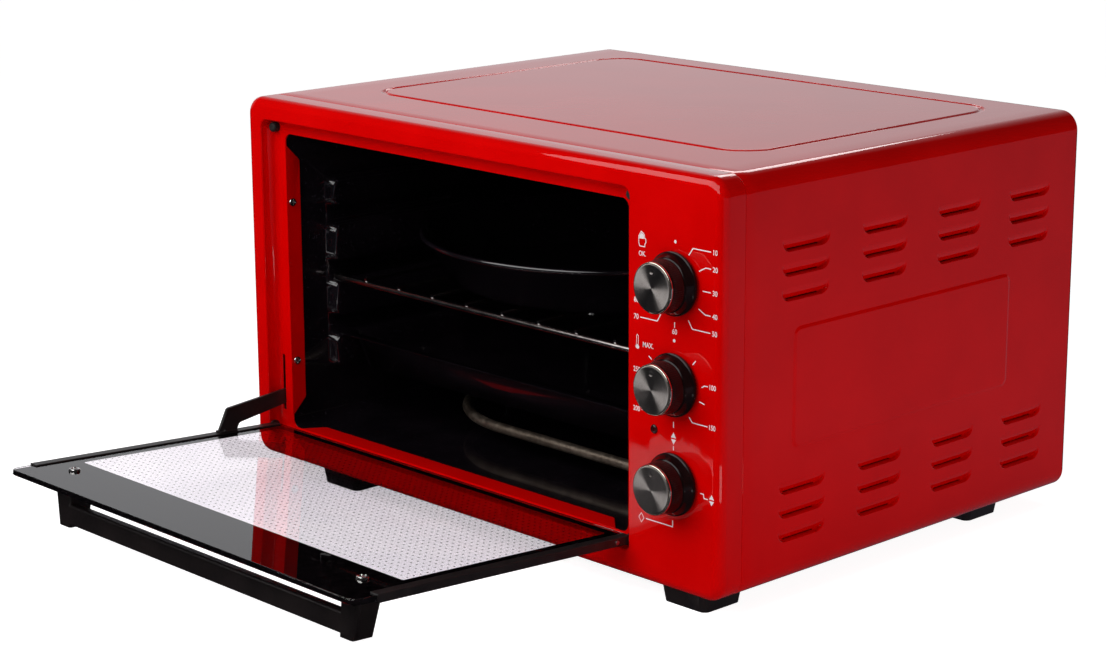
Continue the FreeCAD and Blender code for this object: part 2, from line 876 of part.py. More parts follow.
def heater_terminals():
    """Ceramic bushes on the four element ends outside the liner, each with a contact pin."""
    solids = []
    start = cavity_right + cavity_sheet
    pin = heater_tube_radius / 2
    for z in (lower_heater_z(), upper_heater_z()):
        for y in (-heater_leg_offset, heater_leg_offset):
            bore = heater_tube_radius + fit_clearance
            end = terminal_cap_length
            profile = [
                (bore, 0, 0),
                (terminal_cap_radius + cavity_sheet, 0, 0),
                (terminal_cap_radius + cavity_sheet, casing_sheet * 2, 0),
                (terminal_cap_radius, casing_sheet * 2, 0),
                (terminal_cap_radius, end + pin, casing_sheet),
                (pin, end + pin, 0),
                (pin, end + 3 * pin, 0),
                (0, end + 3 * pin, 0),
                (0, end + fit_clearance, 0),
                (bore, end + fit_clearance, 0),
            ]
            solids.append(turned(profile, Vector(start, y, z), AXIS_X))
    return Part.makeCompound(solids)


heater_clip_width = 8.0
heater_clip_sheet = 1.2


def heater_clips():
    """Straps that hold each element's far bend: one stands on the floor, one hangs from the ceiling."""
    x = cavity_left + heater_left_margin
    radius = heater_tube_radius + screw_clearance
    outer = radius + heater_clip_sheet
    solids = []
    for z, wall, up in ((lower_heater_z(), cavity_floor, -1), (upper_heater_z(), cavity_ceiling, 1)):
        start = Vector(x, -heater_clip_width / 2, z)
        ring = rod(start, start + AXIS_Y * heater_clip_width, outer)
        half = heater_clip_sheet / 2
        rim, inside = z + up * radius, wall - up * heater_clip_sheet
        strap = rectangle(x - half, x + half, min(wall, rim), max(wall, rim))
        foot = rectangle(x - outer, x + outer, min(wall, inside), max(wall, inside))
        run = AXIS_Y * heater_clip_width
        clip = joined([ring, slab(at_xz(start.y), strap, run), slab(at_xz(start.y), foot, run)])
        bore = rod(start - AXIS_Y * overrun, start + AXIS_Y * (heater_clip_width + overrun), radius)
        solids.append(clip.cut(bore))
    return Part.makeCompound(solids)


support_width = 60.0
support_depth = 18.0
support_sheet = 1.2
support_from_back = 30.0
support_side_margin = 97.0


def liner_supports():
    """Two bent channels that carry the rear of the liner on the base plate."""
    top = cavity_floor - cavity_sheet
    y = cavity_back - support_from_back
    solids = []
    for x in (cavity_left + support_side_margin, cavity_right - support_side_margin):
        outer = rectangle(x - support_width / 2, x + support_width / 2, base_top, top)
        inner_half = support_width / 2 - support_sheet
        inner = rectangle(x - inner_half, x + inner_half, base_top, top - support_sheet)
        channel = slab(at_xz(y - support_depth), outer, AXIS_Y * support_depth)
        solids.append(channel.cut(slab(at_xz(y - support_depth), inner, AXIS_Y * support_depth)))
    return Part.makeCompound(solids)


def flange_screws():
    """Chrome screws that fix the liner to the frame's return flanges."""
    head = 2 * flange_screw_radius
    length = frame_sheet + cavity_sheet + overrun
    solids = []
    for x, inward in ((mouth_left, -1), (mouth_right, 1)):
        for z in flange_screw_heights:
            seat = Vector(x, ledge_y + flange_screw_depth, z)
            solids.append(
                pan_head_screw(seat, AXIS_X * inward, flange_screw_radius, head, flange_screw_radius, length)
            )
    return Part.makeCompound(solids)


# Control units behind the panel
timer_size = (42.0, 44.0, 40.0)
thermostat_size = (34.0, 40.0, 28.0)
selector_size = (38.0, 38.0, 34.0)
unit_plate_width = 54.0
unit_plate_height = 24.0
unit_plate = 1.2
unit_corner = 3.0
unit_tab = (6.3, 0.8, 8.0)
shaft_engagement = 12.0
shaft_into_knob = 17.0
shaft_flat = 2.0
shaft_flat_length = 11.0


def control_unit(height, size):
    """A boxed control on a mounting plate against the panel's back, with spade tabs behind."""
    width, tall, deep = size
    plate = rectangle(
        knob_x - unit_plate_width / 2,
        knob_x + unit_plate_width / 2,
        height - unit_plate_height / 2,
        height + unit_plate_height / 2,
        unit_corner,
    )
    body = rectangle(
        knob_x - width / 2, knob_x + width / 2, height - tall / 2, height + tall / 2, unit_corner
    )
    start = panel_back_y + unit_plate
    pieces = [
        slab(at_xz(panel_back_y), plate, AXIS_Y * unit_plate),
        slab(at_xz(start), body, AXIS_Y * deep),
    ]
    tab_width, tab_sheet, tab_length = unit_tab
    for side in (-1, 1):
        for row in (-1, 1):
            x = knob_x + side * width / 4
            z = height + row * tall / 4
            tab = rectangle(x - tab_width / 2, x + tab_width / 2, z - tab_sheet / 2, z + tab_sheet / 2)
            pieces.append(slab(at_xz(start + deep - tab_sheet), tab, AXIS_Y * (tab_length + tab_sheet)))
    centre = Vector(knob_x, panel_back_y - overrun, height)
    depth = overrun + shaft_engagement + seat_clearance
    return joined(pieces).cut(rod(centre, centre + AXIS_Y * depth, shaft_radius + running_clearance))


def control_shaft(height):
    """A round shaft with a flat where the knob pushes on."""
    outer_end = Vector(knob_x, front_y - shaft_into_knob, height)
    inner_end = Vector(knob_x, panel_back_y + shaft_engagement, height)
    return rod(outer_end, inner_end, shaft_radius).cut(shaft_flat_tool(height, shaft_flat))


def shaft_flat_tool(height, flat):
    """The block that leaves the flat, at a given distance from the shaft's middle."""
    wide = 2 * shaft_radius
    block = rectangle(knob_x - wide, knob_x + wide, height - wide, height - flat)
    start = front_y - shaft_into_knob - overrun
    return slab(at_xz(start), block, AXIS_Y * (overrun + shaft_flat_length))


def thermostat_bulb():
    """The sensing bulb inside the right wall and the capillary that leads to the thermostat."""
    z = cavity_ceiling - bulb_drop
    x = cavity_right - seat_clearance - bulb_radius
    outside = cavity_right + capillary_gap
    rear = panel_back_y + unit_plate + thermostat_size[2]
    points = [
        Vector(x, bulb_front + bulb_radius, z),
        Vector(x, bulb_front, z),
        Vector(outside, bulb_front, z),
        Vector(outside, bulb_front, knob_middle_height),
        Vector(knob_x, bulb_front, knob_middle_height),
        Vector(knob_x, rear, knob_middle_height),
    ]
    line = bent_tube(points, 2 * capillary_radius, capillary_radius)
    start = Vector(x, bulb_front + bulb_radius, z)
    return joined([line, rod(start, start + AXIS_Y * bulb_length, bulb_radius)])


# Heat shield between the liner and the controls
shield_from_liner = 25.0
shield_front_gap = 40.0
shield_length = 290.0
shield_headroom = 12.0
shield_fold = 12.0
shield_hole_radius = 4.0


def control_shield():
    """A tall sheet that stands on the base plate, folded outward at its front, back and foot."""
    x = cavity_right + cavity_sheet + shield_from_liner
    start, end = front_y + shield_front_gap, front_y + shield_front_gap + shield_length
    low, high = base_top, casing_height - casing_sheet - shield_headroom
    wall = rectangle(start, end, low, high)
    fold = rectangle(start, end, low, low + casing_sheet)
    flange = rectangle(x, x + shield_fold, low, high)
    pieces = [
        slab(at_yz(x), wall, AXIS_X * casing_sheet),
        slab(at_yz(x), fold, AXIS_X * shield_fold),
        slab(at_xz(end - casing_sheet), flange, AXIS_Y * casing_sheet),
    ]
    hole = Vector(x - overrun, bulb_front, knob_middle_height)
    return joined(pieces).cut(rod(hole, hole + AXIS_X * (2 * overrun + casing_sheet), shield_hole_radius))


# Knobs: a flared skirt and a slightly tapered body, hollow behind, with a rim ring and a faced cap
knob_skirt_length = 8.0
knob_ring_start = 19.2
knob_ring_end = 21.2
knob_ring_width = 1.1
knob_wall = 2.0
knob_hub_radius = 6.0
cap_thickness = 1.2
cap_dimple_offset = 11.4
cap_dimple_radius = 1.9
cap_dimple_depth = 0.5


def knob_body(height):
    depth = knob_length - cap_thickness
    groove = knob_skirt_length + knob_wall / 2
    profile = [
        (0, knob_panel_gap, 0),
        (knob_skirt_radius, knob_panel_gap, 0),
        (knob_skirt_radius, knob_panel_gap + knob_wall, knob_wall / 2),
        ((knob_skirt_radius + knob_body_radius) / 2, knob_skirt_length / 2 + knob_panel_gap, knob_wall),
        (knob_body_radius + knob_wall / 3, knob_skirt_length, knob_wall / 2),
        (knob_body_radius - knob_wall / 4, groove, knob_wall / 8),
        (knob_body_radius, groove + knob_wall / 2, knob_wall / 8),
        (knob_face_radius, knob_ring_start, 0),
        (knob_face_radius - knob_ring_width, knob_ring_start, 0),
        (knob_face_radius - knob_ring_width, depth, 0),
        (0, depth, 0),
    ]
    body = turned(profile, Vector(knob_x, front_y, height), AXIS_Y * -1)
    inner = knob_body_radius - knob_wall
    hollow = [
        (knob_hub_radius, 0, 0),
        (inner, 0, 0),
        (inner - knob_wall / 4, depth - knob_wall, knob_wall / 2),
        (knob_hub_radius, depth - knob_wall, 0),
    ]
    cup = turned(hollow, Vector(knob_x, front_y, height), AXIS_Y * -1)
    inner_end = Vector(knob_x, front_y, height)
    bore_length = shaft_into_knob + fit_clearance
    bore = rod(inner_end, inner_end - AXIS_Y * bore_length, shaft_radius + fit_clearance)
    bore = bore.cut(shaft_flat_tool(height, shaft_flat + fit_clearance))
    return body.cut([cup, bore])


def knob_ring(height):
    inner = knob_face_radius - knob_ring_width
    profile = [
        (inner, knob_ring_start, 0),
        (knob_face_radius, knob_ring_start, 0),
        (knob_face_radius, knob_ring_end, knob_ring_width / 3),
        (inner, knob_ring_end, 0),
    ]
    return turned(profile, Vector(knob_x, front_y, height), AXIS_Y * -1)


def knob_cap(height):
    start = knob_length - cap_thickness
    radius = knob_face_radius - knob_ring_width
    profile = [
        (0, start, 0),
        (radius, start, 0),
        (radius, knob_length, cap_thickness / 3),
        (0, knob_length, 0),
    ]
    cap = turned(profile, Vector(knob_x, front_y, height), AXIS_Y * -1)
    ball = (cap_dimple_radius**2 + cap_dimple_depth**2) / (2 * cap_dimple_depth)
    centre = Vector(knob_x, front_y - knob_length - ball + cap_dimple_depth, height + cap_dimple_offset)
    return cap.cut(Part.makeSphere(ball, centre))


# Indicator lamp
lamp_lens_rise = 1.2
lamp_body_radius = 5.0
lamp_body_length = 20.0


def lamp_lens():
    """A low dome that stands in the panel's hole, on a collar behind the panel."""
    radius = lamp_radius - running_clearance
    profile = [
        (0, 0, 0),
        (lamp_body_radius, 0, 0),
        (lamp_body_radius, unit_plate, 0),
        (radius, unit_plate, 0),
        (radius, unit_plate + frame_sheet + lamp_lens_rise, lamp_lens_rise),
        (0, unit_plate + frame_sheet + lamp_lens_rise, 0),
    ]
    centre = Vector(knob_x - lamp_side_offset, panel_back_y + unit_plate, lamp_height)
    return turned(profile, centre, AXIS_Y * -1)


def lamp_body():
    start = Vector(knob_x - lamp_side_offset, panel_back_y + unit_plate, lamp_height)
    profile = [
        (0, 0, 0),
        (lamp_body_radius, 0, 0),
        (lamp_body_radius, lamp_body_length, unit_plate),
        (0, lamp_body_length, 0),
    ]
    return turned(profile, start, AXIS_Y)


# Door bumpers and hinge brackets
bumper_radius = 3.8
hinge_bracket_sheet = 1.5
hinge_bracket_height = 52.0
hinge_bracket_depth = 22.0
hinge_bracket_fold = 9.0


def door_bumpers():
    """Rubber buttons on the ledge that the closed glass comes to rest against."""
    rise = ledge_y - glass_inner_y - seat_clearance
    reach = frame_sheet + casing_sheet
    profile = [
        (0, -reach, 0),
        (bumper_stem_radius, -reach, 0),
        (bumper_stem_radius, 0, 0),
        (bumper_radius, 0, 0),
        (bumper_radius, rise, bumper_radius / 2),
        (0, rise, 0),
    ]
    places = [Vector(x, ledge_y, recess_top - bumper_from_top) for x in bumper_places()]
    return Part.makeCompound([turned(profile, place, AXIS_Y * -1) for place in places])


def hinge_bracket():
    """The left angle that backs the recess wall and takes the hinge pin."""
    outer = recess_left - frame_sheet
    low = recess_bottom - hinge_bracket_fold / 2
    high = low + hinge_bracket_height
    start = panel_back_y
    plate = rectangle(start, start + hinge_bracket_depth, low, high, hinge_bracket_sheet)
    fold = rectangle(outer - hinge_bracket_fold, outer, start, start + hinge_bracket_sheet)
    pieces = [
        slab(at_yz(outer - hinge_bracket_sheet), plate, AXIS_X * hinge_bracket_sheet),
        slab(at_xy(hinge_z + hinge_bracket_fold), fold, AXIS_Z * (hinge_bracket_height / 2)),
    ]
    hole = Vector(outer - 2 * hinge_bracket_sheet, hinge_y, hinge_z)
    radius = hinge_pin_radius + running_clearance
    return joined(pieces).cut(rod(hole, hole + AXIS_X * (4 * hinge_bracket_sheet), radius))


def hinge_brackets():
    left = hinge_bracket()
    return Part.makeCompound([left, mirrored(left, door_middle)])


# Door, drawn closed and then swung down
handle_side_margin = 22.5
handle_post_width = 20.5
handle_post_length = 21.0
handle_reach = 35.0
handle_from_hinge = 208.0
handle_top_from_hinge = 218.5
handle_taper = 6.5
handle_foot_taper = 3.5
handle_corner = 3.0
handle_bar_start = 14.8
handle_bar_end = 33.0
handle_bar_thickness = 8.0
handle_screw_inset = 10.5
handle_screw_radius = 2.0
handle_screw_head = 4.3
handle_screw_head_height = 2.6
handle_screw_length = 16.0
glass_hole_radius = 2.6
glass_edge_radius = 1.0
arm_thickness = 2.5
arm_foot = 12.0
arm_foot_sheet = 1.2
arm_corner = 3.0
arm_rivet_radius = 0.8
arm_rivet_head = 1.1
arm_rivet_height = 0.7
pin_reach = 3.0
rail_rivet_offset = 13.0
glass_lower_radius = 2.0
handle_half_span = glass_right - door_middle - handle_side_margin
handle_screw_offset = handle_half_span - handle_screw_inset


def swung_open(shape):
    """Turns a door piece about the hinge from closed to open."""
    turned_shape = shape.copy()
    turned_shape.rotate(Vector(0, hinge_y, hinge_z), AXIS_X, door_turn)
    return turned_shape


def handle_screw_places():
    return [(door_middle + side * handle_screw_offset, hinge_z + handle_from_hinge) for side in (-1, 1)]


def door_glass():
    corners = [
        (glass_left, hinge_z - glass_below_hinge, glass_lower_radius),
        (glass_right, hinge_z - glass_below_hinge, glass_lower_radius),
        (glass_right, glass_top, glass_corner_radius),
        (glass_left, glass_top, glass_corner_radius),
    ]
    pane = slab(at_xz(glass_outer_y), corners, AXIS_Y * glass_thickness)
    rims = edges_at(pane, "y", glass_outer_y) + edges_at(pane, "y", glass_inner_y)
    pane = pane.makeFillet(glass_edge_radius, rims)
    tools = []
    for x, z in handle_screw_places():
        centre = Vector(x, glass_outer_y - overrun, z)
        tools.append(rod(centre, centre + AXIS_Y * (glass_thickness + 2 * overrun), glass_hole_radius))
    return pane.cut(tools)


def edge_rail():
    """A channel that clasps the glass's left edge, with a lug for the hinge pin."""
    web = glass_left - edge_rail_sheet
    lip_outer = glass_outer_y - edge_rail_sheet
    lip_inner = glass_inner_y + edge_rail_sheet
    section = rectangle(web, web + edge_rail_width, lip_outer, lip_inner, edge_rail_sheet / 2)
    top = glass_top - edge_rail_from_tip
    channel = slab(at_xy(hinge_z), section, AXIS_Z * (top - hinge_z))
    core = rectangle(glass_left, glass_left + 2 * edge_rail_width, glass_outer_y, glass_inner_y)
    channel = channel.cut(slab(at_xy(hinge_z - overrun), core, AXIS_Z * (top - hinge_z + 2 * overrun)))
    centre = Vector(web, hinge_y, hinge_z)
    lug = rod(centre, centre + AXIS_X * edge_rail_sheet, hinge_lug_radius)
    rail = joined([channel, lug])
    pin = rod(centre - AXIS_X * overrun, centre + AXIS_X * overrun, hinge_pin_radius + fit_clearance)
    return rail.cut(pin)


def left_rail():
    """The left channel, drilled for the arm's rivets."""
    return edge_rail().cut([rod(*ends, arm_rivet_radius + fit_clearance) for ends in arm_rivet_axes()])


def arm_rivet_axes():
    """The two rivets, one on each side of the arm, that hold its foot to the rail's inner lip."""
    middle = hinge_z + arm_foot_middle
    reach = AXIS_Y * (edge_rail_sheet + arm_foot_sheet)
    starts = [
        Vector(arm_plane + side * arm_rivet_side, glass_inner_y, middle + side * arm_rivet_step)
        for side in (-1, 1)
    ]
    return [(start, start + reach) for start in starts]


arm_foot_middle = 49.5
arm_foot_half = 8.5
arm_rivet_side = 2.45
arm_rivet_step = 3.5
arm_hook_reach = 7.7
arm_hook_front = 8.85
arm_hook_back = 15.5
arm_tail = 17.0
arm_tail_rise = 23.0
arm_lower_inner = 18.8
arm_lower_crossing = 8.2
arm_upper_rise = 30.2
arm_upper_crossing = 8.0
arm_bend_rise = 8.8
arm_bend_place = 38.5
arm_peak_rise = 21.5
arm_peak_place = 50.0


def door_arm():
    """The support arm: a foot on the left rail, a bent strip, and a hook behind the ledge."""
    foot_y = glass_inner_y + edge_rail_sheet
    foot_low = hinge_z + arm_foot_middle - arm_foot_half
    foot_high = hinge_z + arm_foot_middle + arm_foot_half
    corners = [
        (foot_y, foot_low, 0),
        (hinge_y + arm_bend_rise, hinge_z + arm_bend_place, arm_corner),
        (hinge_y + arm_lower_inner, hinge_z - arm_lower_crossing, 0),
        (hinge_y + arm_hook_reach, hinge_z - arm_hook_front, 0),
        (hinge_y + arm_hook_reach, hinge_z - arm_hook_back, arm_corner / 2),
        (hinge_y + arm_tail_rise, hinge_z - arm_tail, arm_corner),
        (hinge_y + arm_upper_rise, hinge_z - arm_upper_crossing, arm_corner),
        (hinge_y + arm_peak_rise, hinge_z + arm_peak_place, arm_corner),
        (foot_y, foot_high, 0),
    ]
    strip = slab(at_yz(arm_plane - arm_thickness / 2), corners, AXIS_X * arm_thickness)
    web = glass_left - edge_rail_sheet
    foot = rectangle(web + edge_rail_sheet / 2, web + edge_rail_width, foot_low, foot_high, arm_corner / 2)
    base = slab(at_xz(foot_y), foot, AXIS_Y * arm_foot_sheet)
    bore = arm_rivet_radius + fit_clearance
    holes = [rod(start, end + AXIS_Y * overrun, bore) for start, end in arm_rivet_axes()]
    return joined([strip, base.cut(holes)])


def arm_rivets():
    solids = []
    for start, end in arm_rivet_axes():
        head = rod(end, end + AXIS_Y * arm_rivet_height, arm_rivet_head)
        solids.append(joined([rod(start, end, arm_rivet_radius), head]))
    return Part.makeCompound(solids)


def hinge_pins():
    """Stub pins through the rails' lugs into the frame, and a rivet higher on each rail's web."""
    web = glass_left - edge_rail_sheet
    centre = Vector(glass_left, hinge_y, hinge_z)
    pin = rod(centre, centre - AXIS_X * (edge_rail_sheet + door_side_gap + pin_reach), hinge_pin_radius)
    start = Vector(web, hinge_y, hinge_z + rail_rivet_offset)
    rivet = rod(start, start - AXIS_X * (door_side_gap / 2), 2 * arm_rivet_radius)
    left = [pin, rivet]
    return Part.makeCompound(left + [mirrored(piece, door_middle) for piece in left])


def handle_post(side):
    """One tapered end post of the handle."""
    outer = door_middle + side * handle_half_span
    inner = outer - side * handle_post_width
    tip = outer - side * handle_taper
    top = hinge_z + handle_top_from_hinge
    low = top - handle_post_length
    base = rectangle(min(inner, outer), max(inner, outer), low, top, handle_corner)
    corner = handle_corner * 2 / 3
    end = rectangle(min(inner, tip), max(inner, tip), low + handle_foot_taper, top, corner)
    return pressing(at_xz(glass_outer_y), base, at_xz(glass_outer_y - handle_reach), end)


def handle():
    """A bar held off the glass by two end posts."""
    top = hinge_z + handle_top_from_hinge
    start = door_middle - handle_half_span + handle_post_width / 2
    end = door_middle + handle_half_span - handle_post_width / 2
    section = rectangle(
        glass_outer_y - handle_bar_end,
        glass_outer_y - handle_bar_start,
        top - handle_bar_thickness,
        top,
        handle_corner * 2 / 3,
    )
    bar = slab(at_yz(start), section, AXIS_X * (end - start))
    grip = joined([handle_post(-1), handle_post(1), bar])
    bores = []
    for x, z in handle_screw_places():
        mouth = Vector(x, glass_outer_y + overrun, z)
        depth = handle_screw_length - glass_thickness + overrun + seat_clearance
        bores.append(rod(mouth, mouth - AXIS_Y * depth, handle_screw_radius + fit_clearance))
    return grip.cut(bores)


def handle_screws():
    solids = []
    for x, z in handle_screw_places():
        seat = Vector(x, glass_inner_y, z)
        solids.append(
            pan_head_screw(
                seat,
                AXIS_Y * -1,
                handle_screw_radius,
                handle_screw_head,
                handle_screw_head_height,
                handle_screw_length,
            )
        )
    return Part.makeCompound(solids)


# What stands in the cavity: a wire rack with a round pan on it, and a rectangular tray below
rack_frame_radius = 2.5
rack_wire_radius = 1.5
rack_weld = 0.4
rack_wire_count = 8
rack_bays = 9.3
rack_side_gap = 2.8
rack_front_margin = 39.0
rack_back_margin = 22.0
rack_corner_radius = 8.0
tray_side_gap = 3.8
tray_lip = 9.0
tray_depth = 26.5
tray_wall_slope = 7.0
tray_sheet = 0.8
tray_corner_radius = 14.0
pan_wall_gap = 15.0
pan_wall_slope = 24.0
pan_height = 39.0
pan_sheet = 1.0
pan_rim_width = 4.0
pan_base_bend = 8.0
pan_setback = 9.0
pan_rim_radius = min(cavity_right - cavity_left, cavity_depth) / 2 - pan_wall_gap - pan_rim_width
pan_base_radius = pan_rim_radius - pan_wall_slope


def rail_surface(level, distance):
    """The height of a rail's sloping upper face at a distance from the cavity wall."""
    return rail_tops()[level] - rail_inset * distance / rail_depth


def rack_ends():
    return ledge_back_y + rack_front_margin, cavity_back - rack_back_margin


def rack_height():
    """The height of the rack's frame wire where it lies on the second rail."""
    return rail_surface(1, rack_side_gap + rack_frame_radius) + rack_frame_radius + seat_clearance


def wire_rack():
    left = cavity_left + rack_side_gap + rack_frame_radius
    right = cavity_right - rack_side_gap - rack_frame_radius
    front, back = rack_ends()
    z = rack_height()
    corners = [
        Vector(left, front, z),
        Vector(right, front, z),
        Vector(right, back, z),
        Vector(left, back, z),
    ]
    path = rounded_edges(corners, [rack_corner_radius] * len(corners))
    pieces = []
    for edge in path:
        heading = edge.tangentAt(edge.FirstParameter)
        section = Part.makeCircle(rack_frame_radius, edge.firstVertex(True).Point, heading)
        pieces.append(Part.Wire([edge]).makePipeShell([Part.Wire(section)], True, False))
    top = z + rack_frame_radius + rack_wire_radius - rack_weld
    pitch = (right - left) / rack_bays
    for index in range(rack_wire_count):
        x = door_middle + pitch * (index - (rack_wire_count - 1) / 2)
        ends = Vector(x, front - rack_wire_radius, top), Vector(x, back + rack_wire_radius, top)
        pieces.append(rod(*ends, rack_wire_radius))
    middle = (front + back) / 2
    pieces.append(rod(Vector(left, middle, z), Vector(right, middle, z), rack_wire_radius))
    return joined(pieces)


def rack_top():
    """The height of the rack's upper surface."""
    return rack_height() + rack_frame_radius + 2 * rack_wire_radius - rack_weld


def round_pan():
    flare = pan_rim_radius
    profile = [
        (0, 0, 0),
        (pan_base_radius, 0, pan_base_bend),
        (flare, pan_height - pan_sheet, pan_sheet / 2),
        (flare + pan_rim_width, pan_height - pan_sheet, 0),
        (flare + pan_rim_width, pan_height, 0),
        (flare - pan_sheet, pan_height, pan_sheet),
        (pan_base_radius - pan_sheet, pan_sheet, pan_base_bend),
        (0, pan_sheet, 0),
    ]
    middle_y = (ledge_back_y + cavity_back) / 2 + pan_setback
    return turned(profile, Vector(door_middle, middle_y, rack_top() + seat_clearance), AXIS_Z)


def baking_tray():
    """A pressed rectangular tray whose lip hangs on the lowest rails."""
    z = rail_tops()[0]
    left = cavity_left + tray_side_gap
    right = cavity_right - tray_side_gap
    front, back = rack_ends()
    radius = tray_corner_radius

    def plan(inset, corner):
        return rectangle(left + inset, right - inset, front + inset, back - inset, corner)

    def basin(grow, bottom):
        upper = plan(tray_lip - grow, radius + grow)
        lower = plan(tray_lip + tray_wall_slope - grow, radius + grow)
        return pressing(at_xy(z + tray_sheet), upper, at_xy(bottom), lower)

    lip = slab(at_xy(z), plan(0, radius), AXIS_Z * tray_sheet)
    shell = joined([lip, basin(tray_sheet, z - tray_depth)])
    return shell.cut(basin(0, z - tray_depth + tray_sheet))


# Where the origin goes: midway between the open door's tip and the rearmost point, at the feet's soles
open_angle = math.radians(door_open_rise)
door_tip_y = hinge_y - door_reach * math.cos(open_angle) - glass_thickness / 2 * math.sin(open_angle)
rearmost_y = back_y + gland_nose + casing_sheet
origin = Vector(0, (door_tip_y + rearmost_y) / 2, -foot_height)

nodes = {
    "front_frame": front_frame(),
    "casing_wrap": casing_wrap(),
    "base_plate": base_plate(),
    "back_panel": back_panel(),
    "feet": feet(),
    "foot_screws": foot_screws(),
    "casing_screws": casing_screws(),
    "cord_gland": cord_gland(),
    "terminal_block": terminal_block(),
    "cavity_liner": cavity_liner(),
    "liner_back": liner_back(),
    "upper_heater": heater(upper_heater_z()),
    "lower_heater": heater(lower_heater_z()),
    "heater_terminals": heater_terminals(),
    "heater_clips": heater_clips(),
    "liner_supports": liner_supports(),
    "control_shield": control_shield(),
    "flange_screws": flange_screws(),
    "thermostat_bulb": thermostat_bulb(),
    "lamp_lens": lamp_lens(),
    "lamp_body": lamp_body(),
    "door_bumpers": door_bumpers(),
    "hinge_brackets": hinge_brackets(),
    "door_glass": swung_open(door_glass()),
    "left_rail": swung_open(left_rail()),
    "right_rail": swung_open(mirrored(edge_rail(), door_middle)),
    "hinge_pins": swung_open(hinge_pins()),
    "door_arm": swung_open(door_arm()),
    "arm_rivets": swung_open(arm_rivets()),
    "door_handle": swung_open(handle()),
    "handle_screws": swung_open(handle_screws()),
    "wire_rack": wire_rack(),
    "round_pan": round_pan(),
    "baking_tray": baking_tray(),
}
controls = [
    ("timer", "timer_unit", timer_size),
    ("thermostat", "thermostat_unit", thermostat_size),
    ("selector", "selector_switch", selector_size),
]
for height, (name, unit, size) in zip(knob_heights, controls):
    nodes[unit] = control_unit(height, size)
    nodes[name + "_shaft"] = control_shaft(height)
    nodes[name + "_knob"] = knob_body(height)
    nodes[name + "_knob_ring"] = knob_ring(height)
    nodes[name + "_knob_cap"] = knob_cap(height)

for node, shape in nodes.items():
    placed = shape.copy()
    placed.translate(-origin)
    placed.exportStep("parts/" + node + ".step")
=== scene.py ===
# %% [markdown]
# # Dressing a countertop oven
# The oven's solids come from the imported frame: every node is already in its place, in metres, with z up
# and the front face towards -y. This notebook gives each of them a finish, remakes the few that need
# finer surfaces than a solid has, and adds print, dots and screw recesses. Each step says what the real
# thing is, how it could be made here, and why it is made this way.

# %% Load the oven
import json
import math
import bpy
import bmesh
import numpy as np
from mathutils import Matrix, Vector

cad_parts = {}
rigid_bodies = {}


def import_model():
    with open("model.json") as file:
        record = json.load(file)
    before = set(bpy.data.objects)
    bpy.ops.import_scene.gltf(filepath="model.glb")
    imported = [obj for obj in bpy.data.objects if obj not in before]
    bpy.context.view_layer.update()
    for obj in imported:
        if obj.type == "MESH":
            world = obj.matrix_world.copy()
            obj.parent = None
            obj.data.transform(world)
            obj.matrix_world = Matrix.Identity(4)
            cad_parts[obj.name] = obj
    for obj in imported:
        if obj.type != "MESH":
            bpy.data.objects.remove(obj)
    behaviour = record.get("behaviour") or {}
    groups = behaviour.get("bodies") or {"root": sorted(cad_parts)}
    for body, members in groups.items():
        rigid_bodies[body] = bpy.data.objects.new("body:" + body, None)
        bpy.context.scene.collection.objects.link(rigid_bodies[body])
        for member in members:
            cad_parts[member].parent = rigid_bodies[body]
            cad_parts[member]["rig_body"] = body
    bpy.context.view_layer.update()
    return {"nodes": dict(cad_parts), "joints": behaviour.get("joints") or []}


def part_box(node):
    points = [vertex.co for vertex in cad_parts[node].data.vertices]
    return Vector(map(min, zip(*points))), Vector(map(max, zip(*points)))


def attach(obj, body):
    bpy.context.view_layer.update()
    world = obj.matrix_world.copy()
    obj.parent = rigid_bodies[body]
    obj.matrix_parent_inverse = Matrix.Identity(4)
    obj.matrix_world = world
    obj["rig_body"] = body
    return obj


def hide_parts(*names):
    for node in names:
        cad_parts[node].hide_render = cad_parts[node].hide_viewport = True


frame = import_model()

# %% [markdown]
# ## A drawing's own place
# Sizes on a maker's drawing are in millimetres from the casing: x from the middle, y back from the front
# face, z up from the underside. One function moves such points into the frame's metres, so that every
# later number can be read against a ruler. The door has a drawing of its own: u along the glass from the
# hinge, w through the glass, towards the cavity when the door is shut.

# %% Places on the casing and on the door
MM = 0.001
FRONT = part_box("front_frame")[0].y
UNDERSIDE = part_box("front_frame")[0].z
HINGE = np.array(frame["joints"][0]["pos_m"])
RISE = math.radians(90.0 - frame["joints"][0]["range_deg"][1])


def on_casing(points):
    """Millimetres on the casing's drawing to metres in the frame: scale, then shift."""
    return np.asarray(points, float) * MM + np.array([0.0, FRONT, UNDERSIDE])


def box_mm(node):
    """The lowest and highest corners of a node's box at rest, in the frame's millimetres."""
    return [np.array(corner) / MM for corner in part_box(node)]


def turns(count):
    """Even angles round one full turn."""
    return np.linspace(0, 2 * np.pi, count, endpoint=False)


def on_circle(angles):
    """Unit vectors (cos, sin) at the given angles."""
    return np.stack([np.cos(angles), np.sin(angles)], -1)


def on_door(x, u, w):
    """Door drawing to metres: u runs outwards and rises by the open angle, w is square to it."""
    x, u, w = np.broadcast_arrays(np.asarray(x, float), np.asarray(u, float), np.asarray(w, float))
    y = HINGE[1] + MM * (-u * math.cos(RISE) + w * math.sin(RISE))
    z = HINGE[2] + MM * (u * math.sin(RISE) + w * math.cos(RISE))
    return np.stack([x * MM, y, z], -1)


print("front face at y = %.4f m, underside at z = %.4f m" % (FRONT, UNDERSIDE))
print("door opens to %.1f degrees above level" % math.degrees(RISE))

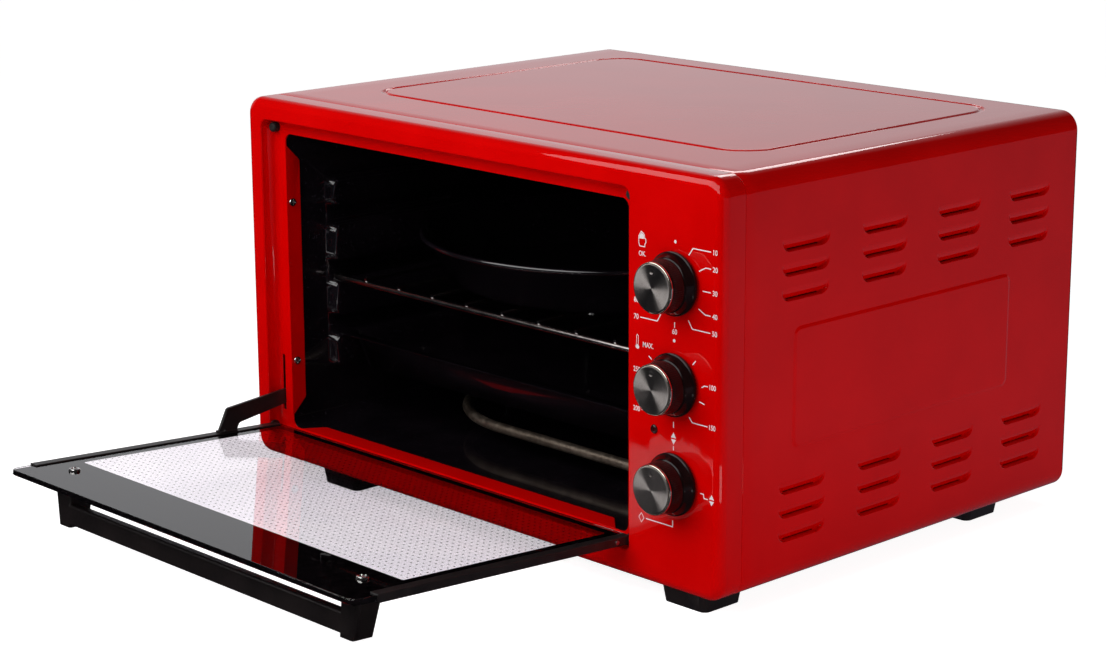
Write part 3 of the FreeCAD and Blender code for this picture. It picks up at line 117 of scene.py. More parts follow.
# %% [markdown]
# ## The camera
# The photograph was taken from the oven's right, a little above, with a long lens. Its angles and
# distance were found by fitting the casing's straight edges, so the camera is set from them directly:
# three unit vectors (right, up, back) are the columns of its rotation.

# %% Set the camera
right = (0.68903756, 0.72471119, -0.00457576)
up = (-0.17017848, 0.1679323, 0.97099847)
back = (0.70446187, -0.66827572, 0.23904191)
eye = on_casing([1347.72, -1190.58, 588.0])
SENSOR, FOCAL_PIXELS, PHOTO_PIXELS = 36.0, 2592.0, 1107.0
camera = bpy.data.objects.new("camera", bpy.data.cameras.new("camera"))
camera.matrix_world = Matrix([*np.array([right, up, back, eye]).T.tolist(), (0, 0, 0, 1)])
camera.data.lens = SENSOR * FOCAL_PIXELS / PHOTO_PIXELS
camera.data.sensor_width = SENSOR
bpy.context.scene.collection.objects.link(camera)
bpy.context.scene.camera = camera
bpy.context.scene.view_settings.view_transform = "Standard"
print("camera at", [round(v, 3) for v in eye], "lens %.1f mm" % camera.data.lens)

# %% [markdown]
# ## Colour and nodes
# A colour is written as the sRGB hex value that a paint chart would give, and turned to linear light by
# one function. A finish is a node tree round one Principled shader: one function adds any node with its
# settings and its links, and another starts a finish.

# %% Colour and node helpers


def linear(code):
    """sRGB hex to linear light: divide by 12.92 near black, else raise (c + 0.055) / 1.055 to 2.4."""
    channels = np.array([int(code[i : i + 2], 16) for i in (1, 3, 5)]) / 255.0
    curve = np.where(channels <= 0.04045, channels / 12.92, ((channels + 0.055) / 1.055) ** 2.4)
    return (*curve.tolist(), 1.0)


def add(tree, kind, inputs=None, **settings):
    """Adds one node, sets its properties, and fills its inputs with values or with other sockets."""
    made = tree.nodes.new("ShaderNode" + kind)
    for name, value in settings.items():
        setattr(made, name, value)
    for name, value in (inputs or {}).items():
        if isinstance(value, bpy.types.NodeSocket):
            tree.links.new(value, made.inputs[name])
        else:
            made.inputs[name].default_value = value
    return made


def finish(name, **inputs):
    """A new material whose Principled shader starts from the given socket values."""
    made = bpy.data.materials.new(name)
    made.use_nodes = True
    shader = made.node_tree.nodes["Principled BSDF"]
    for key, value in inputs.items():
        shader.inputs[key.replace("_", " ")].default_value = value
    return made, made.node_tree, shader


def mottle(tree, size_mm, low, high, detail=2.0):
    """A soft noise of the given grain size, stretched from one value or colour to another."""
    place = add(tree, "TexCoord").outputs["Object"]
    grain = add(tree, "TexNoise", {"Vector": place, "Scale": 1000.0 / size_mm, "Detail": detail})
    ramp = add(tree, "ValToRGB", {"Fac": grain.outputs["Fac"]})
    for element, position, value in zip(ramp.color_ramp.elements, (0.35, 0.65), (low, high)):
        element.position = position
        element.color = value if isinstance(value, tuple) else (value, value, value, 1.0)
    return ramp.outputs["Color"]


def vary(tree, shader, socket, size_mm, low, high, **more):
    """Runs a shader socket between two values, or two hex tones, in soft patches of the given size."""
    ends = [linear(v) if isinstance(v, str) else v for v in (low, high)]
    tree.links.new(mottle(tree, size_mm, *ends, **more), shader.inputs[socket])


def grained(tree, shader, size_mm, depth_mm, detail=2.0, under=None):
    """A bumped skin: noise of a grain size gives the height, and the bump goes over any normal under it."""
    place = add(tree, "TexCoord").outputs["Object"]
    noise = add(tree, "TexNoise", {"Vector": place, "Scale": 1000.0 / size_mm, "Detail": detail})
    inputs = {"Height": noise.outputs["Fac"], "Distance": depth_mm * MM}
    if under is not None:
        inputs["Normal"] = under
    bump = add(tree, "Bump", inputs)
    tree.links.new(bump.outputs["Normal"], shader.inputs["Normal"])
    return bump.outputs["Normal"]


print("linear red of #D20A0A:", [round(v, 3) for v in linear("#D20A0A")])

# %% [markdown]
# ## The studio
# The photograph is a product shot on plain white. The floor and the world are white where the camera or
# a pane looks at them; a mirror or a gloss coat sees a dark room with a pale backdrop behind the oven,
# as in a real studio, so the enamel stays deep red in front and turns pale on top, where it is seen at a
# grazing angle. In a mirror the floor shows a painted glow in place of its lit face. Light that falls on
# the oven comes from soft boxes and a little from the room.

# %% World and floor


def ray_kinds(tree):
    """Two masks: the ray sees this in a mirror, or it looks here straight or through a pane."""
    ray = add(tree, "LightPath").outputs
    bounced = add(tree, "Math", {0: ray["Is Glossy Ray"], 1: ray["Glossy Depth"]}, operation="MINIMUM")
    mirrored = bounced.outputs[0]
    looked = add(tree, "Math", {0: ray["Is Camera Ray"], 1: ray["Is Transmission Ray"]}, operation="MAXIMUM")
    seen = add(tree, "Math", {0: looked.outputs[0], 1: mirrored}, operation="SUBTRACT", use_clamp=True)
    return mirrored, seen.outputs[0]


world = bpy.data.worlds.new("studio")
bpy.context.scene.world = world
world.use_nodes = True
sky = world.node_tree
sky.nodes.clear()
mirrored, seen = ray_kinds(sky)
direction = add(sky, "TexCoord").outputs["Generated"]
behind = add(sky, "VectorMath", {0: direction, 1: (-0.725, 0.688, -0.3)}, operation="DOT_PRODUCT")
span = {"From Min": 0.35, "From Max": 0.95, "To Min": 0.02, "To Max": 0.78}
backdrop = add(sky, "MapRange", {"Value": behind.outputs["Value"], **span}).outputs["Result"]
ambient = add(sky, "Background", {"Color": (1.0, 0.98, 0.98, 1.0), "Strength": 0.13})
mirror_view = add(sky, "Background", {"Color": (0.97, 0.97, 1.0, 1.0), "Strength": backdrop})
white = add(sky, "Background", {"Color": (1, 1, 1, 1), "Strength": 1.0})
room = add(sky, "MixShader", {"Fac": mirrored, 1: ambient.outputs[0], 2: mirror_view.outputs[0]})
shown = add(sky, "MixShader", {"Fac": seen, 1: room.outputs[0], 2: white.outputs[0]})
add(sky, "OutputWorld", {"Surface": shown.outputs[0]})

paper, tree, shader = finish("paper_sweep", Base_Color=linear("#CFCFCF"), Roughness=0.9)
mirrored, seen = ray_kinds(tree)
# In a mirror the floor is not lit by the lamps. It shows a painted pale blue glow, faint next to the oven and
# brighter towards the far right and back.
place = add(tree, "TexCoord").outputs["Object"]
across = add(tree, "VectorMath", {0: place, 1: (0.7, 0.7, 0.0)}, operation="DOT_PRODUCT")
span = {"From Min": 0.0, "From Max": 0.6, "To Min": 0.015, "To Max": 0.24}
far = add(tree, "MapRange", {"Value": across.outputs["Value"], **span}).outputs["Result"]
painted_floor_glow = add(tree, "Emission", {"Color": linear("#D8DCF4"), "Strength": far})
glow = add(tree, "Math", {0: seen, 1: 0.92}, operation="MULTIPLY")
bright = add(tree, "Emission", {"Color": (1, 1, 1, 1), "Strength": glow.outputs[0]})
lit = add(tree, "AddShader", {0: shader.outputs[0], 1: bright.outputs[0]})
mixed = add(tree, "MixShader", {"Fac": mirrored, 1: lit.outputs[0], 2: painted_floor_glow.outputs[0]})
tree.links.new(mixed.outputs[0], tree.nodes["Material Output"].inputs["Surface"])

floor_mesh = bpy.data.meshes.new("floor")
floor_mesh.from_pydata([(-6, -6, 0), (6, -6, 0), (6, 6, 0), (-6, 6, 0)], [], [(0, 1, 2, 3)])
floor = bpy.data.objects.new("floor", floor_mesh)
floor.data.materials.append(paper)
bpy.context.scene.collection.objects.link(floor)
print("floor and world set")

# %% Soft boxes


def soft_box(name, place, target, size, power, mirrored=True):
    """A rectangular lamp that faces a target: its -z axis points from place to target."""
    lamp = bpy.data.lights.new(name, "AREA")
    lamp.shape = "RECTANGLE"
    lamp.size, lamp.size_y = size
    lamp.energy = power
    holder = bpy.data.objects.new(name, lamp)
    holder.location = place
    holder.rotation_euler = (Vector(target) - Vector(place)).to_track_quat("-Z", "Y").to_euler()
    holder.visible_glossy = mirrored
    bpy.context.scene.collection.objects.link(holder)


soft_box("key_box", (-0.1, FRONT - 0.72, 0.76), (0.05, FRONT, 0.2), (1.2, 0.8), 9.2)
soft_box("back_box", (-0.5, 0.95, 0.95), (0.1, 0.05, 0.2), (0.5, 0.3), 2.0)
soft_box("side_fill", (0.74, 0.06, 0.08), (0.25, 0.08, 0.1), (1.2, 0.15), 1.25, mirrored=False)
soft_box("bend_strip", (0.46, -0.235, 0.012), (0.25, -0.07, 0.07), (0.12, 0.03), 0.03)
print("studio lit")

# %% [markdown]
# ## Smooth skins for the pressed sheets
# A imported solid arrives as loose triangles, which shade flat. The pressed front, the bent casing and the
# other sheets are right in shape, so a copy of each is merged at its shared corners, shaded smooth where
# its faces meet gently, and given weighted normals so that the flats stay flat beside their bends.

# %% Skin maker
skins = {}


def skin(node, material, angle=32.0):
    """A merged, smooth copy of a node that stands for it and moves with its body."""
    source = frame["nodes"][node]
    mesh = source.data.copy()
    mesh.name = node + "_skin"
    cage = bmesh.new()
    cage.from_mesh(mesh)
    bmesh.ops.remove_doubles(cage, verts=cage.verts, dist=1e-6)
    cage.to_mesh(mesh)
    cage.free()
    mesh.shade_smooth()
    mesh.set_sharp_from_angle(angle=math.radians(angle))
    mesh.materials.clear()
    mesh.materials.append(material)
    piece = bpy.data.objects.new(node + "_skin", mesh)
    bpy.context.scene.collection.objects.link(piece)
    weighted = piece.modifiers.new("flats", "WEIGHTED_NORMAL")
    weighted.keep_sharp = True
    weighted.weight = 60
    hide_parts(node)
    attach(piece, source["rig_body"])
    skins[node] = piece
    return piece


print("faces that meet within 32 degrees will shade smooth")

# %% [markdown]
# ## Baked red enamel
# The casing is deep-drawn steel under a stoved gloss enamel. Such a coat has a clear, hard top with a
# faint orange peel of about 2 mm, lies over slow waves in the sheet, and is a saturated red that hardly
# reflects anything where it faces the lens. Principled's coat gives the clear top; two noises, one fine
# and one slow, bend its normal.

# %% Red enamel on the casing
coat = {"Coat_Weight": 1.0, "Coat_Roughness": 0.03, "Coat_IOR": 1.4}
red_enamel, tree, shader = finish("stoved_red_enamel", Roughness=0.4, Specular_IOR_Level=0.0, **coat)
vary(tree, shader, "Base Color", 60.0, "#D40000", "#DC0202")
slow = grained(tree, shader, 85.0, 0.12, 0.5)
peel = grained(tree, shader, 2.4, 0.003, 1.0, slow)
tree.links.new(peel, shader.inputs["Coat Normal"])
for node in ("front_frame", "back_panel"):
    skin(node, red_enamel)
print("red enamel on", [n for n in skins])

# %% [markdown]
# ## Vitreous enamel in the cavity
# The cavity, tray and pan are fired with black vitreous enamel: a glass, so it is very smooth, with a
# faint violet depth and a scatter of lighter specks about 0.5 mm across, drawn at 0.9 mm so that they
# show at all. The finish has small waves where the sheet warped in the kiln.

# %% Black enamel
coat = {"Coat_Weight": 0.6, "Coat_Roughness": 0.05}
black_enamel, tree, shader = finish("fired_black_enamel", Roughness=0.16, **coat)
place = add(tree, "TexCoord").outputs["Object"]
specks = add(tree, "TexVoronoi", {"Vector": place, "Scale": 1000.0 / 2.2, "Randomness": 1.0})
span = {"From Min": 0.16, "From Max": 0.2, "To Min": 1.0, "To Max": 0.0}
speck_edge = add(tree, "MapRange", {"Value": specks.outputs["Distance"], **span})
some = add(tree, "TexNoise", {"Vector": place, "Scale": 1000.0 / 5.0, "Detail": 2.0})
kept = add(tree, "MapRange", {"Value": some.outputs["Fac"], "From Min": 0.5, "From Max": 0.6})
both = {0: speck_edge.outputs["Result"], 1: kept.outputs["Result"]}
strength = add(tree, "Math", both, operation="MULTIPLY")
ground = mottle(tree, 40.0, linear("#0B080C"), linear("#120D12"))
tones = {"Factor": strength.outputs[0], "A": ground, "B": linear("#3A343C")}
speckled = add(tree, "Mix", tones, data_type="RGBA")
tree.links.new(speckled.outputs["Result"], shader.inputs["Base Color"])
grained(tree, shader, 30.0, 0.1, 1.0)
for node in ("cavity_liner", "liner_back", "baking_tray"):
    skin(node, black_enamel)
print("black enamel on 3 nodes, skins in all:", len(skins))

# %% [markdown]
# ## Steels
# The element is a nickel steel tube that has been glowing: brown and blue-grey heat tints along it over a
# drawn, slightly rough skin, so it shines dully along one line. The hidden sheets are zinc coated, with
# pale crystals some 6 mm across that catch the light one by one. The rack is plated wire, and its rails
# are plated sheet, both dulled by the heat; the screws are still bright.

# %% Element, zinc and plating
element_steel, tree, shader = finish("heat_tinted_tube", Metallic=0.85, Roughness=0.42)
tint = mottle(tree, 22.0, linear("#6E6257"), linear("#8C8074"), detail=4.0)
shade = mottle(tree, 3.0, linear("#B8B0A8"), linear("#FFFFFF"), detail=3.0)
scorched = add(tree, "Mix", {"Factor": 0.6, "A": tint, "B": shade}, data_type="RGBA", blend_type="MULTIPLY")
tree.links.new(scorched.outputs["Result"], shader.inputs["Base Color"])
vary(tree, shader, "Roughness", 6.0, 0.34, 0.55)
grained(tree, shader, 0.9, 0.03, 3.0)

zinc, tree, shader = finish("zinc_coated_sheet", Metallic=1.0, Roughness=0.4)
place = add(tree, "TexCoord").outputs["Object"]
crystals = add(tree, "TexVoronoi", {"Vector": place, "Scale": 1000.0 / 6.0})
tones = add(tree, "ValToRGB", {"Fac": crystals.outputs["Color"]})
for element, tone in zip(tones.color_ramp.elements, ("#9A9DA1", "#C3C6CA")):
    element.color = linear(tone)
tree.links.new(tones.outputs["Color"], shader.inputs["Base Color"])
vary(tree, shader, "Roughness", 5.0, 0.32, 0.5)

plating, tree, shader = finish("bright_plating", Metallic=1.0, Roughness=0.14)
vary(tree, shader, "Base Color", 12.0, "#C9C7C6", "#E2E0DE")
vary(tree, shader, "Roughness", 2.0, 0.1, 0.24)
grained(tree, shader, 0.7, 0.004)

oven_wire, tree, shader = finish("heat_dulled_plating", Metallic=1.0, Roughness=0.2)
vary(tree, shader, "Base Color", 12.0, "#7C7474", "#A39C9A")
grained(tree, shader, 0.7, 0.004)
skin("liner_supports", oven_wire)

hidden = ["base_plate", "control_shield", "hinge_brackets", "heater_clips", "thermostat_bulb", "hinge_pins"]
hidden += ["timer_unit", "thermostat_unit", "timer_shaft", "thermostat_shaft", "selector_shaft"]
for node in hidden:
    skin(node, zinc)
print("zinc on", len(hidden), "nodes")

# %% [markdown]
# ## Powder coat, moulded plastics, rubber and ceramic
# The door's channels and arm are steel under black powder coat, which melts into a fine pebble of about
# half a millimetre: a dull sheen that breaks up every highlight. The handle and feet are injection
# moulded in a tool with a spark-eroded grain, so their black is softer and evenly satin. Rubber buttons
# have no sheen at all, and the bushes on the elements are unglazed steatite, a matt cream ceramic.

# %% Dark door parts and moulded pieces
powder_coat, tree, shader = finish("black_powder_coat", Roughness=0.42, Specular_IOR_Level=0.55)
vary(tree, shader, "Base Color", 9.0, "#171213", "#201A1A")
grained(tree, shader, 0.9, 0.05)
for node in ("left_rail", "right_rail", "door_arm", "arm_rivets"):
    skin(node, powder_coat)

satin_plastic, tree, shader = finish("satin_moulded_black", Roughness=0.4, Specular_IOR_Level=0.5)
vary(tree, shader, "Base Color", 25.0, "#1A1415", "#221B1B")
vary(tree, shader, "Roughness", 3.0, 0.36, 0.46)
grained(tree, shader, 0.7, 0.022, 3.0)
for node in ("feet", "cord_gland"):
    skin(node, satin_plastic)

rubber, tree, shader = finish("moulded_rubber", Roughness=0.72)
vary(tree, shader, "Base Color", 4.0, "#151313", "#1E1B1B")
skin("door_bumpers", rubber)

steatite, tree, shader = finish("fired_steatite", Roughness=0.55)
vary(tree, shader, "Base Color", 5.0, "#D8D2C4", "#EAE5D9")
grained(tree, shader, 0.6, 0.03, 3.0)
for node in ("heater_terminals", "terminal_block", "selector_switch", "lamp_body"):
    skin(node, steatite)
print("skins in all:", len(skins))

# %% [markdown]
# ## Surfaces from numbers
# New pieces are grids of points. A grid function returns an array of rings; one function turns rings into
# quads, closes the seam, welds the poles and hands the piece to the frame.

# %% Grid helpers


def quads(rows, columns, wrap=True):
    """Faces of a rows by columns grid; with wrap the last column joins the first."""
    i, j = np.meshgrid(np.arange(rows - 1), np.arange(columns if wrap else columns - 1), indexing="ij")
    here, beside, below = i * columns + j, i * columns + (j + 1) % columns, columns
    return np.stack([here, beside, beside + below, here + below], -1).reshape(-1, 4)


WELD = 1e-7


def piece_from(name, points, faces, body, material, smooth=True, angle=40.0):
    """Puts arrays of points and faces into a mesh, welds it, and gives it a body and a finish."""
    mesh = bpy.data.meshes.new(name)
    faces = faces.tolist() if isinstance(faces, np.ndarray) else faces
    mesh.from_pydata(np.reshape(points, (-1, 3)).tolist(), [], faces)
    cage = bmesh.new()
    cage.from_mesh(mesh)
    bmesh.ops.remove_doubles(cage, verts=cage.verts, dist=WELD)
    bmesh.ops.dissolve_degenerate(cage, edges=cage.edges, dist=WELD)
    bmesh.ops.recalc_face_normals(cage, faces=cage.faces)
    cage.to_mesh(mesh)
    cage.free()
    if smooth:
        mesh.shade_smooth()
        mesh.set_sharp_from_angle(angle=math.radians(angle))
    mesh.materials.append(material)
    made = bpy.data.objects.new(name, mesh)
    bpy.context.scene.collection.objects.link(made)
    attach(made, body)
    return made


def read(items, name, width=1):
    """One property of every vertex, corner or face of a mesh, read into an array at one go."""
    values = np.zeros(len(items) * width)
    items.foreach_get(name, values)
    return values.reshape(-1, width) if width > 1 else values


def lathe(profile, steps, ripple=None):
    """Rings round z: a profile point (r, h) becomes (r cos t, r sin t, h), with r scaled by 1 + ripple."""
    t = turns(steps)
    r, h = np.asarray(profile, float).T
    scale = 1.0 if ripple is None else 1.0 + ripple(r[:, None], h[:, None], t[None, :])
    radius = r[:, None] * scale * np.ones_like(t)
    return np.stack([radius * np.cos(t), radius * np.sin(t), h[:, None] * np.ones_like(t)], -1)


def rounded(points, radii, steps=6):
    """A polyline whose corners are swapped for arcs of the given radii, sampled as dense points."""
    points = np.asarray(points, float)
    out = [points[0][None]]
    for before, corner, after, radius in zip(points[:-2], points[1:-1], points[2:], radii):
        a = (before - corner) / np.linalg.norm(before - corner)
        b = (after - corner) / np.linalg.norm(after - corner)
        half = np.arccos(np.clip(a @ b, -1, 1)) / 2
        middle = corner + (a + b) / np.linalg.norm(a + b) * radius / np.sin(half)
        start, end = corner + a * radius / np.tan(half), corner + b * radius / np.tan(half)
        s = np.linspace(0, 1, steps)[:, None]
        sweep = np.pi - 2 * half
        arc = np.sin((1 - s) * sweep) * (start - middle) + np.sin(s * sweep) * (end - middle)
        out.append(middle + arc / np.sin(sweep))
    out.append(points[-1][None])
    return np.concatenate(out)


def unit(rows):
    """Each row vector over its own length."""
    return rows / np.linalg.norm(rows, axis=1)[:, None]


def tube(path, radius, sides, closed=False):
    """Rings of a tube along a path: each ring is square to the path and carried on without twist."""
    path = np.asarray(path, float)
    after = np.roll(path, -1, 0) - path
    before = path - np.roll(path, 1, 0)
    if not closed:
        after[-1], before[0] = before[-1], after[0]
    tangent = unit(unit(after) + unit(before))
    side = np.cross(tangent, [0.0, 0.0, 1.0])
    flat = np.linalg.norm(side, axis=1)[:, None] < 1e-6
    side = unit(np.where(flat, [1.0, 0.0, 0.0], side))
    lift = np.cross(side, tangent)
    t = turns(sides)[None, :, None]
    return path[:, None] + radius * (side[:, None] * np.cos(t) + lift[:, None] * np.sin(t))


def capped(rings):
    """Closes both ends of a stack of rings with a ring shrunk to its centre."""
    first, last = (np.broadcast_to(ring.mean(0), ring.shape)[None] for ring in (rings[0], rings[-1]))
    return np.concatenate([first, rings, last])


def merged(parts):
    """Several (points, faces) pairs as one, with the face numbers moved on."""
    points, faces, count = [], [], 0
    for p, f in parts:
        points.append(np.reshape(p, (-1, 3)))
        faces += (np.asarray(f) + count).tolist()
        count += len(points[-1])
    return np.concatenate(points), faces


print("a ring of 12 points twice over has", len(quads(2, 12)), "quads")

# %% [markdown]
# ## The louvred casing
# Top and both sides are one sheet bent over a frame. A press pushes each louvre in from outside: its top
# edge stays joined, the tongue leans inwards without a crease, both ends close in a quarter round, and the
# steel tears along a slit just over the scoop's floor. A soft field is raised between the rows, and a
# round-cornered bead is sunk in the top. Such a sheet is a height over a grid: places along the casing by
# places round its section, dense where the tool bent the steel and sparse where it stayed flat. Quads in
# the slits are left out, a second layer inside gives the sheet its thickness, and a rim closes every edge.

# %% Places and heights of the pressings
SHEET, HALF, TALL, BEND = 0.8, 250.0, 286.5, 14.0
SEAM, REAR = 21.6, 380.7
LOUVRE_FRONTS = 56.7 + 81.4 * np.arange(4)
LOUVRE_FEET = np.array([229.8, 213.1, 196.4, 29.8, 46.5, 63.2])
LONG, HIGH, DEEP, CORNER = 48.5, 9.4, 3.6, 8.6
FLOOR, SLIT = 0.9, 1.7
LEAN_POWER, FRONT_SPREAD, REAR_SPREAD = 1.8, 1.5, 0.4


def places(*runs):
    """Sample places: each run (start, end, step) is divided evenly, and all are sorted together."""
    rows = [np.linspace(a, b, max(2, round((b - a) / step) + 1)) for a, b, step in runs]
    return np.unique(np.round(np.concatenate(rows), 3))


def ease(x):
    """Runs from 0 to 1 with level ends: 3x^2 - 2x^3."""
    x = np.clip(x, 0.0, 1.0)
    return x * x * (3.0 - 2.0 * x)


def within(a, b, half_a, half_b, radius):
    """How far a place lies inside a rounded rectangle centred at zero; negative outside."""
    qa, qb = np.abs(a) - half_a + radius, np.abs(b) - half_b + radius
    return radius - np.hypot(np.maximum(qa, 0), np.maximum(qb, 0)) - np.minimum(np.maximum(qa, qb), 0)


def side_height(y, z):
    """Each tongue sinks by DEEP times its way down to the power 1.8, so it is nearly flush above and steep at
    the slit. Its walls are 0.9 mm wide below, 2.4 mm at the front end and 1.3 mm at the rear end. The field
    is raised by 0.8 mm."""
    height = 0.8 * ease(within(y - 187.5, z - 136.0, 118.0, 42.5, 7.0) / 3.0)
    for front in LOUVRE_FRONTS:
        for foot in LOUVRE_FEET:
            lean = np.clip((foot + HIGH - z) / (HIGH - SLIT), 0.0, 1.0) ** LEAN_POWER
            inside = within(y - front - LONG / 2, z - foot - 40.0, LONG / 2, 40.0, CORNER)
            spread = np.where(y < front + LONG / 2, FRONT_SPREAD, REAR_SPREAD)
            wall = FLOOR + spread * ease((np.abs(y - front - LONG / 2) - LONG / 2 + CORNER) / CORNER)
            height = height - DEEP * lean * ease(inside / wall) * (z <= foot + HIGH)
    return height


def top_height(x, y):
    """The bead: 1.2 mm deep and 2.5 mm wide at its floor, 5 mm at the surface, along a rounded rectangle."""
    away = np.abs(within(x, y - 216.75, 197.0, 136.75, 28.0))
    return -1.2 * ease((2.5 - away) / 1.3)


def pressed_sheet(name, section, out, rise, kept, y):
    """Section points (x, z) and their outward directions, swept along y and moved out by the rise."""
    lip = 0.35 * np.clip(1.0 - (y - SEAM) / 0.4, 0, 1) ** 2
    layers = []
    for thick in (0.0, SHEET):
        shift = rise - lip[None, :] - thick
        x = section[:, :1] + out[:, :1] * shift
        z = section[:, 1:] + out[:, 1:] * shift
        layers.append(np.stack([x, np.broadcast_to(y, x.shape), z], -1).reshape(-1, 3))
    rows, columns = len(section), len(y)
    face = quads(rows, columns, False)[kept.ravel()]
    count = rows * columns
    padded = np.pad(kept, 1)
    index = np.arange(count).reshape(rows, columns)
    along = padded[:-1, 1:-1] != padded[1:, 1:-1]
    across = padded[1:-1, :-1] != padded[1:-1, 1:]
    a = np.concatenate([index[:, :-1][along], index[:-1][across]])
    b = np.concatenate([index[:, 1:][along], index[1:][across]])
    rim = np.stack([a, b, b + count, a + count], -1)
    faces = np.concatenate([face, face[:, ::-1] + count, rim])
    points = on_casing(np.concatenate(layers))
    return piece_from(name, points, faces, "casing", red_enamel, angle=50)


print("louvres on each side:", len(LOUVRE_FRONTS) * len(LOUVRE_FEET))

# %% Press the sides
slit_ends = [(f + CORNER, f + LONG - CORNER, 6.0) for f in LOUVRE_FRONTS]
y = places(
    (SEAM, SEAM + 0.4, 0.13), (SEAM, REAR, 12.0), (69.5, 76.5, 0.7), (298.5, 305.5, 0.7), *slit_ends,
    *[(f - 0.5, f + 10.0, 0.5) for f in LOUVRE_FRONTS], *[(f + 38.5, f + 49.0, 0.5) for f in LOUVRE_FRONTS],
)
z = places(
    (BEND, 250.0, 12.0), (93.5, 100.5, 0.7), (171.5, 178.5, 0.7),
    *[(f - 0.2, f + FLOOR, 0.18) for f in LOUVRE_FEET], *[(f + FLOOR, f + SLIT, 0.4) for f in LOUVRE_FEET],
    *[(f + SLIT, f + HIGH + 0.6, 0.55) for f in LOUVRE_FEET],
)
turn = np.linspace(-np.pi / 2, 0, 10)
bend = [HALF - BEND, BEND] + BEND * on_circle(turn)
section = np.concatenate([[(194.0, 0.0)], bend, np.stack([np.full(len(z) - 1, HALF), z[1:]], -1)])
out = np.concatenate([[(0.0, -1.0)], on_circle(turn), np.tile([1.0, 0.0], (len(z) - 1, 1))])
rise = np.where(section[:, 1:] > BEND, side_height(y[None, :], section[:, 1:]), 0.0)
mid_y, mid_z = (y[:-1] + y[1:]) / 2, (section[:-1, 1] + section[1:, 1]) / 2
in_y = sum((mid_y > f + CORNER) & (mid_y < f + LONG - CORNER) for f in LOUVRE_FRONTS) > 0
in_z = sum((mid_z > f + FLOOR) & (mid_z < f + SLIT) for f in LOUVRE_FEET) > 0
kept = ~(in_z[:, None] & in_y[None, :])
right_side = pressed_sheet("casing_right", section, out, rise, kept, y)
left_side = pressed_sheet("casing_left", section * [-1, 1], out * [-1, 1], rise, kept, y)
print("each side: %d by %d places" % (len(section), len(y)))

# %% Press the top
y = places((SEAM, SEAM + 0.4, 0.13), (SEAM, REAR, 12.0), (76.0, 112.0, 0.9), (321.0, 357.5, 0.9))
x = places((0.0, HALF - BEND, 16.0), (165.0, 201.0, 0.8))
turn = np.linspace(0, np.pi / 2, 12)
bend = [HALF - BEND, TALL - BEND] + BEND * on_circle(turn)
half = np.concatenate([[(HALF, 250.0)], bend, np.stack([x[::-1][1:], np.full(len(x) - 1, TALL)], -1)])
half_out = np.concatenate([[(1.0, 0.0)], on_circle(turn), np.tile([0.0, 1.0], (len(x) - 1, 1))])
section = np.concatenate([half, half[::-1][1:] * [-1, 1]])
out = np.concatenate([half_out, half_out[::-1][1:] * [-1, 1]])
rise = np.where(out[:, 1:] > 0.999, top_height(section[:, :1], y[None, :]), 0.0)
top = pressed_sheet("casing_top", section, out, rise, np.ones((len(section) - 1, len(y) - 1), bool), y)
LIP = 12.0
loop, inner = (
    rounded([(0, m), (w, m), (w, TALL - m), (-w, TALL - m), (-w, m), (0, m)], [corner] * 4, 8)
    for m, w, corner in ((0.0, HALF, BEND), (LIP, HALF - LIP, 2.0))
)
ring = np.stack([loop[:-1], inner[:-1], inner[:-1], loop[:-1], loop[:-1]])
depth = np.array([REAR, REAR, REAR - SHEET, REAR - SHEET, REAR])[:, None]
points = on_casing(np.stack([ring[..., 0], np.broadcast_to(depth, ring.shape[:2]), ring[..., 1]], -1))
faces = quads(5, len(loop) - 1)
back_lip = piece_from("casing_back_lip", points, faces, "casing", red_enamel)
for piece in (top, right_side, left_side, back_lip):
    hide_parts("casing_wrap")
print("top: %d by %d places" % (len(section), len(y)))

# %% [markdown]
# ## The elements
# Each element is one tube bent into a wide U. The path is three straight runs joined by two arcs, and a
# ring of 20 points is carried along it.

# %% Bend the elements
for node in ("upper_heater", "lower_heater"):
    low, high = box_mm(node)
    r = (high[2] - low[2]) / 2
    z = (high[2] + low[2]) / 2
    bend_x, near, far = low[0] + r, low[1] + r, high[1] - r
    corners = [(high[0], near, z), (bend_x, near, z), (bend_x, far, z), (high[0], far, z)]
    path = rounded(corners, [(far - near) / 2 - 0.1] * 2, 48)
    rings = capped(tube(path, r, 20)) * MM
    faces = quads(len(rings), 20)
    made = piece_from(node + "_tube", rings, faces, "casing", element_steel, angle=60)
    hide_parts(node)
print("element tube radius %.1f mm" % r)

# %% [markdown]
# ## The rack
# A rack is a bent frame wire with long wires laid across it and welded down: each crossing with the frame
# has a small squashed bead. Tubes make the wires, and flat spheroids make the beads, so every weld catches a
# glint.

# %% Weld the rack
low, high = box_mm("wire_rack")
frame_r, wire_r = 2.5, 1.5
z = low[2] + frame_r
(x0, y0), (x1, y1) = (low[0] + frame_r, low[1] + wire_r), (high[0] - frame_r, high[1] - wire_r)
middle_x, middle_y = (x0 + x1) / 2, (y0 + y1) / 2
loop = [(middle_x, y0, z), (x1, y0, z), (x1, y1, z), (x0, y1, z), (x0, y0, z), (middle_x, y0, z)]
parts = []
path = rounded(loop, [8.0] * 4, 10)[:-1]
rings = tube(path, frame_r, 14, closed=True)
parts.append((np.concatenate([rings, rings[:1]]), quads(len(rings) + 1, 14)))
top_z = z + frame_r + wire_r - 0.4
lat = np.linspace(-np.pi / 2, np.pi / 2, 7)
ball = lathe(on_circle(lat), 12)
for k in range(8):
    x = -33.8 + (x1 - x0) / 9.3 * (k - 3.5)
    rings = capped(tube([(x, y0 - wire_r, top_z), (x, y1 + wire_r, top_z)], wire_r, 12))
    parts.append((rings, quads(len(rings), 12)))
    for y in (y0, y1):
        bead = ball * [2.3, 2.1, 1.1] + [x, y, z + frame_r - 0.2]
        parts.append((bead, quads(7, 12)))
rings = capped(tube([(x0, middle_y, z), (x1, middle_y, z)], wire_r, 12))
parts.append((rings, quads(len(rings), 12)))
points, faces = merged(parts)
